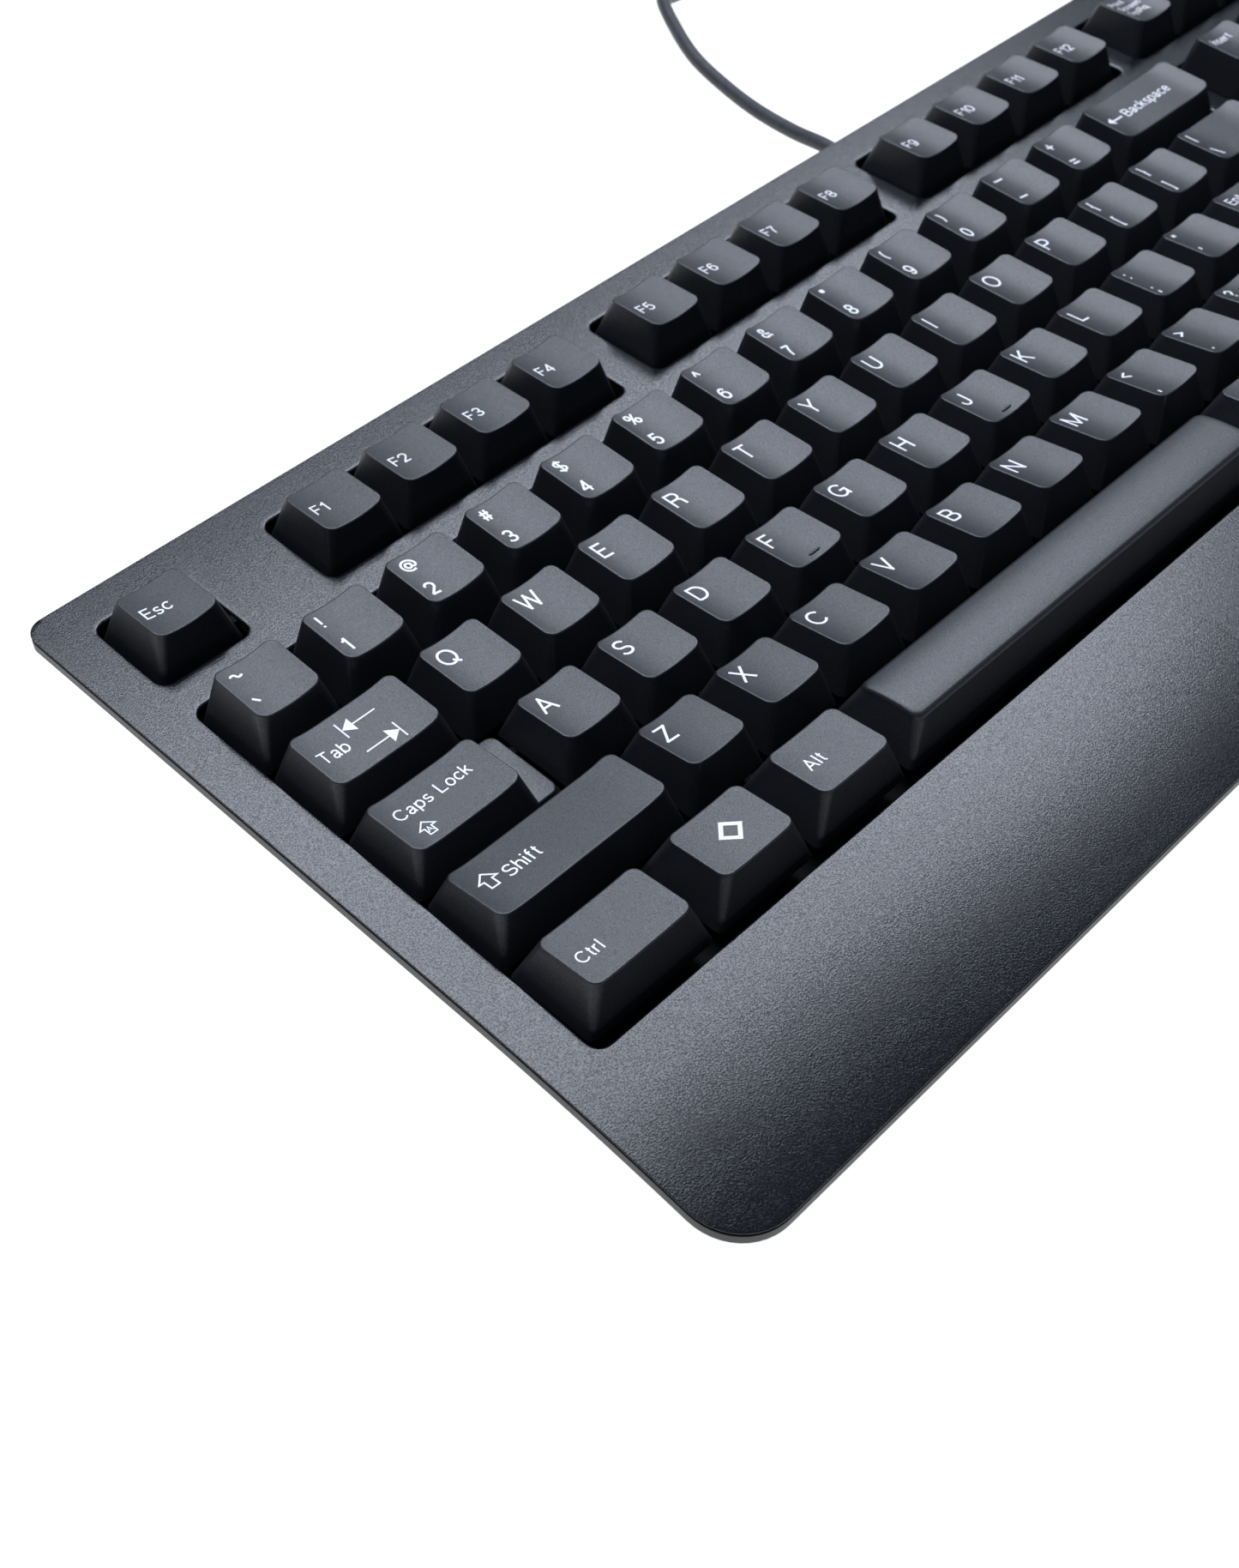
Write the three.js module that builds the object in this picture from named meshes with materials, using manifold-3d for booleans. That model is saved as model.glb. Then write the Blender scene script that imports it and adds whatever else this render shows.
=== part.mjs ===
// Full-size mechanical keyboard with a palm-rest deck, sculpted keycaps and a fixed cable.
// Millimetres, +Z up, +X to the typist's right, +Y towards the back of the desk.
//
// Everything above the feet is laid out in the "deck frame", whose Z = 0 plane is the deck's flat
// top, X = 0 the left side of the main key block and Y = 0 the home row. The deck frame is then
// turned by DECK_TILT so that the underside sits level on the desk.
import * as THREE from "three";
import { mergeVertices } from "three/addons/utils/BufferGeometryUtils.js";
import Module from "manifold-3d";

const wasm = await Module();
wasm.setup();

// ---- driving dimensions ----
const UNIT = 19.05; // centre distance of two neighbouring keys
const DECK_TILT = THREE.MathUtils.degToRad(3);
const BLOCK_GAP = 8; // main block to navigation block, and navigation block to number pad

const MAIN_WIDTH = 15 * UNIT;
const NAV_LEFT = MAIN_WIDTH + BLOCK_GAP;
const PAD_LEFT = NAV_LEFT + 3 * UNIT + BLOCK_GAP;
const PAD_RIGHT = PAD_LEFT + 4 * UNIT;

const SIDE_BORDER = 9.4; // deck beyond the keys on the left and on the right
const DECK = { left: -SIDE_BORDER, right: PAD_RIGHT + SIDE_BORDER, front: -86.5, rear: 85.2 };
const DECK_CENTRE = { x: (DECK.left + DECK.right) / 2, y: (DECK.front + DECK.rear) / 2 };
const FRONT_CORNER_RADIUS = 10.5;
const REAR_CORNER_RADIUS = 4;
const CORNER_STEPS = 6; // facets in each rounded corner of the case
const OPENING_STEPS = 3;

const ROLL_START = -30; // the palm rest starts to fall away here
const ROLL_RADIUS = 370;

const DECK_THICKNESS = 2.2;
const DECK_LIP = 0.5; // visible thickness of the deck's edge
const SEAM = 0.3; // gap between neighbouring case pieces
const BAND_BOTTOM = 2.9;
const BAND_WIDTH = 2.6;

const UNDERSIDE_DEPTH = 22.7; // deck top to underside, at the deck's centre
const CASE_INSET = 1.5; // bottom case behind the band
const CASE_WALL = 2.2;
const CASE_TAPER = { left: 0.42, right: 0.42, front: 0.45, rear: 0.22 }; // inset per mm of depth
const CASE_LOFT_BOTTOM = -34;

const PAD_HEIGHT = 2.2; // rubber foot
const PAD_PROUD = 1.5; // how far it stands out of the underside
const PAD_SIZE = { x: 26, y: 8 };

const SKIRT_BOTTOM = -2.4;
const KEY_GAP = 0.95; // between neighbouring skirts
const CAP_WALL = 1.4;
const CAP_ROOF = 1.5;
const CAP_CHAMFER = 1.5;
const DISH_REACH = 6.6; // a dish is this far from the cap's side to its floor
const POST_SIZE = 5.4;
const POST_BOTTOM = -5.5;
const KEY_TRAVEL = 4;

const PLATE_TOP = -8;
const PLATE_THICKNESS = 1.5;
const PLATE_CUTOUT = 14.2;
const HOUSING_TOP = -1.4;
const HOUSING_BOTTOM = -12.7;
const HOUSING_BASE = 13.6;
const HOUSING_CROWN = 10.6;
const HOUSING_WELL = 6.4;
const WELL_MARGIN = 0.7; // the post never reaches the well's floor
const RAIL = { width: 2, height: 0.6, rise: 0.6 }; // rise is its middle above the plate
const BOARD_TOP = -13;
const BOARD_THICKNESS = 1.6;
const BOARD_RADIUS = 2;
const CHIP = { side: 12, height: 1.4, y: 52 };

const CABLE_RADIUS = 1.8;
const CABLE_EXIT = new THREE.Vector3(226.5, 83, -13);

// Cap tops, row by row: rim is the height above the deck, slope lifts the rear edge, shift moves
// the top towards the rear of its skirt.
const ROWS = {
  function: { y: 3.5 * UNIT, rim: 7.1, slope: -1.5, shift: -0.3, topDepth: 13.8, inset: 5.85 },
  number: { y: 2 * UNIT, rim: 8.35, slope: 2.5, shift: 0.35, topDepth: 13.8, inset: 5.85 },
  upper: { y: UNIT, rim: 6.8, slope: 0.3, shift: 0.15, topDepth: 13.8, inset: 5.85 },
  home: { y: 0, rim: 5.95, slope: -4, shift: 0.15, topDepth: 13.8, inset: 5.85 },
  lower: { y: -UNIT, rim: 6.3, slope: -9, shift: 0.15, topDepth: 13.8, inset: 5.85 },
  bottom: { y: -2 * UNIT, rim: 6.9, slope: -6, shift: -0.4, topDepth: 13.2, inset: 7.2 },
};
const DISH = { letter: 0.95, modifier: 0.45, spacebar: 0 };
const SPACEBAR_CROWN = 0.8;
const CAPS_RAISED_UNITS = 1.5;
const CAPS_SHELF = { rim: -0.7, slope: 0, shift: 0, inset: 2, topDepth: 17.2 };
const CAPS_SHELF_SETBACK = 0.3; // the shelf is this much less deep than the raised part
const CAPS_SHELF_START = 6; // and it starts this far in from the left, inside the raised part

// ---- the keys ----
// Each row lists [name, width in units], and a bare number is an empty space in units.
const MAIN_KEYS = {
  function: [
    ["esc", 1], 1, ["f1", 1], ["f2", 1], ["f3", 1], ["f4", 1],
    0.5, ["f5", 1], ["f6", 1], ["f7", 1], ["f8", 1],
    0.5, ["f9", 1], ["f10", 1], ["f11", 1], ["f12", 1],
  ],
  number: [
    ["grave", 1], ["1", 1], ["2", 1], ["3", 1], ["4", 1], ["5", 1], ["6", 1], ["7", 1],
    ["8", 1], ["9", 1], ["0", 1], ["minus", 1], ["equals", 1], ["backspace", 2],
  ],
  upper: [
    ["tab", 1.5], ["q", 1], ["w", 1], ["e", 1], ["r", 1], ["t", 1], ["y", 1], ["u", 1],
    ["i", 1], ["o", 1], ["p", 1], ["bracket_left", 1], ["bracket_right", 1], ["backslash", 1.5],
  ],
  home: [
    ["caps_lock", 1.75], ["a", 1], ["s", 1], ["d", 1], ["f", 1], ["g", 1], ["h", 1], ["j", 1],
    ["k", 1], ["l", 1], ["semicolon", 1], ["quote", 1], ["enter", 2.25],
  ],
  lower: [
    ["shift_left", 2.25], ["z", 1], ["x", 1], ["c", 1], ["v", 1], ["b", 1], ["n", 1],
    ["m", 1], ["comma", 1], ["period", 1], ["slash", 1], ["shift_right", 2.75],
  ],
  bottom: [
    ["ctrl_left", 1.5], ["system_left", 1.25], ["alt_left", 1.25], ["space", 5.75],
    ["alt_right", 1.25], ["system_right", 1.25], ["menu", 1.25], ["ctrl_right", 1.5],
  ],
};
const NAV_KEYS = {
  function: [["print_screen", 1], ["scroll_lock", 1], ["pause", 1]],
  number: [["insert", 1], ["home", 1], ["page_up", 1]],
  upper: [["delete", 1], ["end", 1], ["page_down", 1]],
  lower: [1, ["arrow_up", 1]],
  bottom: [["arrow_left", 1], ["arrow_down", 1], ["arrow_right", 1]],
};
// A third entry of 2 marks a key two rows deep, reaching one row nearer the typist.
const PAD_KEYS = {
  number: [["num_lock", 1], ["pad_divide", 1], ["pad_multiply", 1], ["pad_subtract", 1]],
  upper: [["pad_7", 1], ["pad_8", 1], ["pad_9", 1], ["pad_add", 1, 2]],
  home: [["pad_4", 1], ["pad_5", 1], ["pad_6", 1]],
  lower: [["pad_1", 1], ["pad_2", 1], ["pad_3", 1], ["pad_enter", 1, 2]],
  bottom: [["pad_0", 2], ["pad_decimal", 1]],
};

// Keys that share one body: a block of caps held together by thin tabs at their skirts.
const KEY_BLOCKS = {
  keys_f1_f4: ["f1", "f2", "f3", "f4"],
  keys_f5_f8: ["f5", "f6", "f7", "f8"],
  keys_f9_f12: ["f9", "f10", "f11", "f12"],
  keys_print_pause: ["print_screen", "scroll_lock", "pause"],
  keys_number_row: ["grave", "1", "2", "3", "4", "5", "6", "7", "8", "9", "0", "minus", "equals"],
  keys_right_letters: ["y", "u", "i", "o", "p", "k", "l"],
  keys_punctuation: [
    "bracket_left", "bracket_right", "semicolon", "quote", "comma", "period", "slash",
  ],
  keys_right_modifiers: ["alt_right", "system_right", "menu", "ctrl_right"],
  keys_navigation: ["insert", "home", "page_up", "delete", "end", "page_down"],
  keys_arrows: ["arrow_up", "arrow_left", "arrow_down", "arrow_right"],
  keys_numpad: Object.values(PAD_KEYS).flat().filter(Array.isArray).map(([name]) => name),
};

function placeKeys(cluster, left) {
  const placed = [];
  for (const [rowName, entries] of Object.entries(cluster)) {
    let x = left;
    for (const entry of entries) {
      if (!Array.isArray(entry)) {
        x += entry * UNIT;
        continue;
      }
      const [name, units, rowsDeep = 1] = entry;
      const width = units * UNIT;
      const y = ROWS[rowName].y - ((rowsDeep - 1) * UNIT) / 2;
      placed.push({ name, row: rowName, x: x + width / 2, y, width, depth: rowsDeep * UNIT });
      x += width;
    }
  }
  return placed;
}

const KEYS = [
  ...placeKeys(MAIN_KEYS, 0),
  ...placeKeys(NAV_KEYS, NAV_LEFT),
  ...placeKeys(PAD_KEYS, PAD_LEFT),
];

// ---- materials ----
const plastic = (color, roughness) =>
  new THREE.MeshStandardMaterial({ color, roughness, metalness: 0 });
const metal = (color, roughness) =>
  new THREE.MeshStandardMaterial({ color, roughness, metalness: 1 });

const MATERIALS = {
  deck: plastic(0x2b2d31, 0.55),
  band: plastic(0x4a4b4d, 0.35),
  shell: plastic(0x1d1e20, 0.7),
  keycap: plastic(0x3a3b3f, 0.5),
  housing: plastic(0x141416, 0.4),
  plate: plastic(0x1b1c1e, 0.55),
  board: plastic(0x14301c, 0.5),
  chip: plastic(0x111111, 0.3),
  rubber: plastic(0x161616, 0.9),
  cable: plastic(0x3a3c40, 0.6),
  plug: metal(0xb8babd, 0.25),
  lens: plastic(0xd8dde0, 0.15),
};

// ---- solid helpers ----
function toSolid(geometry) {
  const bare = geometry.clone();
  bare.deleteAttribute("normal");
  bare.deleteAttribute("uv");
  const welded = mergeVertices(bare, 1e-5);
  const mesh = new wasm.Mesh({
    numProp: 3,
    vertProperties: new Float32Array(welded.attributes.position.array),
    triVerts: new Uint32Array(welded.index.array),
  });
  return new wasm.Manifold(mesh);
}

function toGeometry(solid) {
  const mesh = solid.getMesh();
  const geometry = new THREE.BufferGeometry();
  geometry.setAttribute("position", new THREE.BufferAttribute(mesh.vertProperties, 3));
  geometry.setIndex(new THREE.BufferAttribute(mesh.triVerts, 1));
  geometry.computeVertexNormals();
  return geometry;
}

function indexedSolid(points, triangles) {
  const geometry = new THREE.BufferGeometry();
  geometry.setAttribute("position", new THREE.Float32BufferAttribute(points.flat(), 3));
  geometry.setIndex(triangles.flat());
  return toSolid(geometry);
}

function box(size, centre) {
  const geometry = new THREE.BoxGeometry(size.x, size.y, size.z);
  return toSolid(geometry.translate(centre.x, centre.y, centre.z));
}

// A solid between two rings of as many points each, listed counterclockwise seen from above.
function loft(lower, upper) {
  const count = lower.length;
  const triangles = [];
  for (let i = 0; i < count; i++) {
    const next = (i + 1) % count;
    triangles.push([i, next, count + next], [i, count + next, count + i]);
  }
  for (let i = 1; i < count - 1; i++) {
    triangles.push([0, i + 1, i], [count, count + i, count + i + 1]);
  }
  return indexedSolid([...lower, ...upper], triangles);
}

function rectangleRing(halfX, halfY, centre, heightAt) {
  const corners = [[-halfX, -halfY], [halfX, -halfY], [halfX, halfY], [-halfX, halfY]];
  return corners.map(([x, y]) => [centre.x + x, centre.y + y, heightAt(y)]);
}

function roundedRing(bounds, frontRadius, rearRadius, z, steps = CORNER_STEPS) {
  const corners = [
    { x: bounds.left, y: bounds.front, sx: 1, sy: 1, radius: frontRadius, start: Math.PI },
    { x: bounds.right, y: bounds.front, sx: -1, sy: 1, radius: frontRadius, start: 1.5 * Math.PI },
    { x: bounds.right, y: bounds.rear, sx: -1, sy: -1, radius: rearRadius, start: 0 },
    { x: bounds.left, y: bounds.rear, sx: 1, sy: -1, radius: rearRadius, start: 0.5 * Math.PI },
  ];
  const ring = [];
  for (const corner of corners) {
    const cx = corner.x + corner.sx * corner.radius;
    const cy = corner.y + corner.sy * corner.radius;
    for (let i = 0; i <= steps; i++) {
      const angle = corner.start + (i / steps) * (Math.PI / 2);
      const x = cx + corner.radius * Math.cos(angle);
      const y = cy + corner.radius * Math.sin(angle);
      ring.push([x, y, z]);
    }
  }
  return ring;
}

function insetBounds(bounds, inset) {
  return {
    left: bounds.left + inset,
    right: bounds.right - inset,
    front: bounds.front + inset,
    rear: bounds.rear - inset,
  };
}

function deckPrism(inset) {
  const bounds = insetBounds(DECK, inset);
  const front = FRONT_CORNER_RADIUS - inset;
  const rear = Math.max(REAR_CORNER_RADIUS - inset, 1);
  return loft(roundedRing(bounds, front, rear, -20), roundedRing(bounds, front, rear, 5));
}

// Height of the deck's top surface at a distance y from the home row.
function deckHeight(y) {
  const past = Math.max(ROLL_START - y, 0);
  return Math.sqrt(ROLL_RADIUS ** 2 - past ** 2) - ROLL_RADIUS;
}

function extrudeAlongX(outline, left, right) {
  const shape = new THREE.Shape(outline.map(([y, z]) => new THREE.Vector2(y, z)));
  const geometry = new THREE.ExtrudeGeometry(shape, { depth: right - left, bevelEnabled: false });
  const turn = new THREE.Matrix4().makeBasis(
    new THREE.Vector3(0, 1, 0), new THREE.Vector3(0, 0, 1), new THREE.Vector3(1, 0, 0),
  );
  return toSolid(geometry.applyMatrix4(turn).translate(left, 0, 0));
}

// The layer between two depths below the deck's rolled top surface.
function deckLayer(topDepth, bottomDepth) {
  const steps = 8;
  const ys = [DECK.rear + 5, ROLL_START];
  for (let i = 1; i <= steps; i++) {
    ys.push(ROLL_START + (i / steps) * (DECK.front - 2 - ROLL_START));
  }
  const above = ys.map((y) => [y, deckHeight(y) - topDepth]);
  const below = ys.map((y) => [y, deckHeight(y) - bottomDepth]).reverse();
  return extrudeAlongX([...above, ...below], DECK.left - 5, DECK.right + 5);
}

function cylinder(radius, length, axis, centre, segments = 16) {
  const geometry = new THREE.CylinderGeometry(radius, radius, length, segments);
  const turn = new THREE.Quaternion().setFromUnitVectors(new THREE.Vector3(0, 1, 0), axis);
  geometry.applyQuaternion(turn);
  return toSolid(geometry.translate(centre.x, centre.y, centre.z));
}

// ---- case ----
const OPENING_MARGIN = { side: 0.4, rear: 0.4 };
const OPENING_RADIUS = 2.4;
const UPPER_FRONT_MARGIN = 1.3;
const LOWER_FRONT_MARGIN = 2;

function openingCut(left, right, frontRow, rearRow) {
  const frontMargin = frontRow === "function" ? UPPER_FRONT_MARGIN : LOWER_FRONT_MARGIN;
  const bounds = {
    left: left - OPENING_MARGIN.side,
    right: right + OPENING_MARGIN.side,
    front: ROWS[frontRow].y - UNIT / 2 - frontMargin,
    rear: ROWS[rearRow].y + UNIT / 2 + OPENING_MARGIN.rear,
  };
  const ring = (z) => roundedRing(bounds, OPENING_RADIUS, OPENING_RADIUS, z, OPENING_STEPS);
  return loft(ring(-10), ring(4));
}

function keyOpenings() {
  return [
    openingCut(0, UNIT, "function", "function"),
    openingCut(2 * UNIT, 6 * UNIT, "function", "function"),
    openingCut(6.5 * UNIT, 10.5 * UNIT, "function", "function"),
    openingCut(11 * UNIT, 15 * UNIT, "function", "function"),
    openingCut(NAV_LEFT, NAV_LEFT + 3 * UNIT, "function", "function"),
    openingCut(0, MAIN_WIDTH, "bottom", "number"),
    openingCut(NAV_LEFT, NAV_LEFT + 3 * UNIT, "upper", "number"),
    openingCut(NAV_LEFT + UNIT, NAV_LEFT + 2 * UNIT, "bottom", "lower"),
    openingCut(NAV_LEFT, NAV_LEFT + 3 * UNIT, "bottom", "bottom"),
    openingCut(PAD_LEFT, PAD_RIGHT, "bottom", "number"),
  ];
}

const LENS = { x: PAD_LEFT + 2 * UNIT, y: ROWS.function.y, width: 44, depth: 4.4, thickness: 1.4 };

function topCase() {
  const lip = deckPrism(0).intersect(deckLayer(0, DECK_LIP));
  const body = deckPrism(BAND_WIDTH + SEAM).intersect(deckLayer(0, DECK_THICKNESS));
  const lensSize = { x: LENS.width + 2 * SEAM, y: LENS.depth + 2 * SEAM, z: 12 };
  let solid = lip.add(body).subtract(box(lensSize, { x: LENS.x, y: LENS.y, z: 0 }));
  for (const cut of keyOpenings()) {
    solid = solid.subtract(cut);
  }
  return toGeometry(solid);
}

function trimBand() {
  const layer = deckLayer(DECK_LIP + SEAM, BAND_BOTTOM);
  return toGeometry(deckPrism(0).subtract(deckPrism(BAND_WIDTH)).intersect(layer));
}

function indicatorLens() {
  const size = { x: LENS.width, y: LENS.depth, z: LENS.thickness };
  return toGeometry(box(size, { x: LENS.x, y: LENS.y, z: -LENS.thickness / 2 }));
}

function taperedBounds(inset, z) {
  const depth = -z;
  return {
    left: DECK.left + inset + CASE_TAPER.left * depth,
    right: DECK.right - inset - CASE_TAPER.right * depth,
    front: DECK.front + inset + CASE_TAPER.front * depth,
    rear: DECK.rear - inset - CASE_TAPER.rear * depth,
  };
}

function taperedBody(inset) {
  const ring = (z) => roundedRing(taperedBounds(inset, z), FRONT_CORNER_RADIUS, REAR_CORNER_RADIUS, z);
  return loft(ring(CASE_LOFT_BOTTOM), ring(-0.5));
}

// Depth below the deck frame's zero plane of a level surface `raise` above the underside.
function undersideDepth(y, raise) {
  const slope = Math.tan(DECK_TILT);
  return -UNDERSIDE_DEPTH - (y - DECK_CENTRE.y) * slope + raise / Math.cos(DECK_TILT);
}

function abovePlane(raise) {
  const front = DECK.front - 5;
  const rear = DECK.rear + 5;
  const outline = [
    [front, undersideDepth(front, raise)], [rear, undersideDepth(rear, raise)], [rear, 5], [front, 5],
  ];
  return extrudeAlongX(outline, DECK.left - 5, DECK.right + 5);
}

const FOOT = {
  width: 24, length: 30, thickness: 3.4, hingeY: 66, hingeRaise: 2.4, pinRadius: 1.2, pinLength: 1.4,
};
const FOOT_BAY = { width: 25, depth: 5, margin: 1.6, wall: 2 };
const FOOT_X = [DECK.left + 48, DECK.right - 48];
const PIN_HOLE_RADIUS = 1.3;

const hingeCentre = (x) => ({ x, y: FOOT.hingeY, z: undersideDepth(FOOT.hingeY, FOOT.hingeRaise) });

// A block as long as the folding foot, lying level above the underside, grown by `grow`.
function footBlock(x, width, bottomRaise, topRaise, grow) {
  const rear = FOOT.hingeY + FOOT.thickness / 2 + grow;
  const front = FOOT.hingeY - FOOT.length - grow;
  const outline = [
    [front, undersideDepth(front, bottomRaise)], [rear, undersideDepth(rear, bottomRaise)],
    [rear, undersideDepth(rear, topRaise)], [front, undersideDepth(front, topRaise)],
  ];
  return extrudeAlongX(outline, x - width / 2, x + width / 2);
}

function bottomCase() {
  const rim = BAND_BOTTOM + SEAM;
  const outer = taperedBody(CASE_INSET).intersect(abovePlane(0)).intersect(deckLayer(rim, 60));
  const inner = taperedBody(CASE_INSET + CASE_WALL).intersect(abovePlane(CASE_WALL));
  let solid = outer.subtract(inner);
  const bayTop = FOOT_BAY.depth + FOOT_BAY.wall;
  for (const x of FOOT_X) {
    const boss = FOOT_BAY.width + 2 * FOOT_BAY.wall;
    solid = solid.add(footBlock(x, boss, 0, bayTop, FOOT_BAY.margin + FOOT_BAY.wall));
    solid = solid.subtract(footBlock(x, FOOT_BAY.width, -3, FOOT_BAY.depth, FOOT_BAY.margin));
    const pinLength = FOOT_BAY.width + 2 * FOOT.pinLength;
    const axis = new THREE.Vector3(1, 0, 0);
    solid = solid.subtract(cylinder(PIN_HOLE_RADIUS, pinLength, axis, hingeCentre(x)));
  }
  for (const pad of padPositions()) {
    solid = solid.subtract(padRecess(pad));
  }
  const collarHole = GROMMET.neckRadius + SEAM;
  const back = new THREE.Vector3(0, 1, 0);
  solid = solid.subtract(cylinder(collarHole, 30, back, CABLE_EXIT));
  return toGeometry(solid);
}

// ---- feet ----
function padPositions() {
  const positions = [];
  for (const [end, y, fromSide] of [["front", -62, 40], ["rear", 60, 88]]) {
    positions.push({ name: `rubber_foot_${end}_left`, x: DECK.left + fromSide, y });
    positions.push({ name: `rubber_foot_${end}_right`, x: DECK.right - fromSide, y });
  }
  return positions;
}

function padRecess(pad) {
  const halfX = PAD_SIZE.x / 2 + SEAM;
  const halfY = PAD_SIZE.y / 2 + SEAM;
  const ceiling = PAD_HEIGHT - PAD_PROUD + SEAM;
  const lower = rectangleRing(halfX, halfY, pad, (y) => undersideDepth(pad.y + y, -3));
  const upper = rectangleRing(halfX, halfY, pad, (y) => undersideDepth(pad.y + y, ceiling));
  return loft(lower, upper);
}

function rubberFoot(pad) {
  const halfX = PAD_SIZE.x / 2;
  const halfY = PAD_SIZE.y / 2;
  const lower = rectangleRing(halfX, halfY, pad, (y) => undersideDepth(pad.y + y, -PAD_PROUD));
  const upper = rectangleRing(
    halfX, halfY, pad, (y) => undersideDepth(pad.y + y, PAD_HEIGHT - PAD_PROUD),
  );
  return toGeometry(loft(lower, upper));
}

// The folding foot: a flat leg with a round hinge end and a pin on each side.
function tiltFoot(x) {
  const hinge = hingeCentre(x);
  const axis = new THREE.Vector3(1, 0, 0);
  const half = FOOT.thickness / 2;
  const legTop = FOOT.hingeRaise + half - 0.02;
  const legBottom = FOOT.hingeRaise - half + 0.02;
  const front = FOOT.hingeY - FOOT.length;
  const outline = [
    [front, undersideDepth(front, legBottom)],
    [FOOT.hingeY, undersideDepth(FOOT.hingeY, legBottom)],
    [FOOT.hingeY, undersideDepth(FOOT.hingeY, legTop)],
    [front, undersideDepth(front, legTop)],
  ];
  const leg = extrudeAlongX(outline, x - FOOT.width / 2, x + FOOT.width / 2);
  const barrel = cylinder(half, FOOT.width, axis, hinge);
  const pins = cylinder(FOOT.pinRadius, FOOT.width + 2 * FOOT.pinLength, axis, hinge);
  return toGeometry(leg.add(barrel).add(pins));
}

// ---- keycaps ----
function dishDrop(distanceFromSide, dish) {
  const inward = Math.min(distanceFromSide / DISH_REACH, 1);
  return dish * (1 - (1 - inward) ** 2);
}

function capTop(key, row, dish, crown) {
  const halfX = (key.width - row.inset) / 2;
  const halfY = (key.depth - UNIT + row.topDepth) / 2;
  const columns = [0, CAP_CHAMFER, DISH_REACH * (2 / 3)].map((d) => d - halfX);
  columns.push(...columns.map((x) => -x).reverse());
  const lines = crown > 0 ? [-1, -0.6, 0.6, 1] : [-1, 1];
  const slope = Math.tan(THREE.MathUtils.degToRad(row.slope));
  return columns.map((x, i) => {
    const atSide = i === 0 || i === columns.length - 1;
    return lines.map((line, j) => {
      const atEnd = j === 0 || j === lines.length - 1;
      const y = line * (halfY - (atSide && atEnd ? CAP_CHAMFER : 0));
      const drop = dishDrop(halfX - Math.abs(x), dish) + (atEnd ? crown : 0);
      return [x, y, row.rim + y * slope - drop];
    });
  });
}

// A cap's outside: the dished top, a straight tapering skirt and a flat underside.
function capOuter(key, row, dish, crown) {
  const grid = capTop(key, row, dish, crown);
  const columns = grid.length;
  const lines = grid[0].length;
  const ringIndex = [];
  for (let i = 0; i < columns; i++) {
    ringIndex.push([i, 0]);
  }
  for (let j = 1; j < lines; j++) {
    ringIndex.push([columns - 1, j]);
  }
  for (let i = columns - 2; i >= 0; i--) {
    ringIndex.push([i, lines - 1]);
  }
  for (let j = lines - 2; j >= 1; j--) {
    ringIndex.push([0, j]);
  }

  const spreadX = (key.width - KEY_GAP) / (key.width - row.inset);
  const spreadY = (key.depth - KEY_GAP) / (key.depth - UNIT + row.topDepth);
  const shift = row.shift;
  const top = grid.flat().map(([x, y, z]) => [key.x + x, key.y + shift + y, z]);
  const foot = ringIndex.map(([i, j]) => {
    const [x, y] = grid[i][j];
    return [key.x + x * spreadX, key.y + y * spreadY, SKIRT_BOTTOM];
  });

  const at = (i, j) => i * lines + j;
  const triangles = [];
  for (let i = 0; i < columns - 1; i++) {
    for (let j = 0; j < lines - 1; j++) {
      triangles.push([at(i, j), at(i + 1, j), at(i + 1, j + 1)]);
      triangles.push([at(i, j), at(i + 1, j + 1), at(i, j + 1)]);
    }
  }
  const base = top.length;
  const count = ringIndex.length;
  for (let k = 0; k < count; k++) {
    const next = (k + 1) % count;
    const [upper, upperNext] = [at(...ringIndex[k]), at(...ringIndex[next])];
    triangles.push([base + k, base + next, upperNext], [base + k, upperNext, upper]);
    if (k > 0 && k < count - 1) {
      triangles.push([base, base + k + 1, base + k]);
    }
  }
  return indexedSolid([...top, ...foot], triangles);
}

function capPocket(key, row, dish) {
  const overlap = 0.5; // the pocket starts this far below the skirt
  const ceiling = row.rim - dish - CAP_ROOF;
  const slope = Math.tan(THREE.MathUtils.degToRad(row.slope));
  const share = (ceiling - SKIRT_BOTTOM) / (row.rim - SKIRT_BOTTOM);
  const lowX = (key.width - KEY_GAP) / 2 - CAP_WALL;
  const lowY = (key.depth - KEY_GAP) / 2 - CAP_WALL;
  const highX = lowX - (share * (row.inset - KEY_GAP)) / 2;
  const highY = lowY - (share * (UNIT - row.topDepth - KEY_GAP)) / 2;
  const lower = rectangleRing(lowX, lowY, key, () => SKIRT_BOTTOM - overlap);
  const shifted = { x: key.x, y: key.y + row.shift * share };
  const upper = rectangleRing(highX, highY, shifted, (y) => ceiling + y * slope);
  return loft(lower, upper);
}

function capPost(x, y, row, dish) {
  const top = row.rim - dish - CAP_ROOF / 2;
  const size = { x: POST_SIZE, y: POST_SIZE, z: top - POST_BOTTOM };
  return box(size, { x, y, z: (top + POST_BOTTOM) / 2 });
}

function dishOf(key) {
  if (key.name === "space") {
    return DISH.spacebar;
  }
  return key.row === "bottom" ? DISH.modifier : DISH.letter;
}

function plainCap(key) {
  const row = ROWS[key.row];
  const dish = dishOf(key);
  const crown = key.name === "space" ? SPACEBAR_CROWN : 0;
  const shell = capOuter(key, row, dish, crown).subtract(capPocket(key, row, dish));
  return shell.add(capPost(key.x, key.y, row, dish));
}

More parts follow.
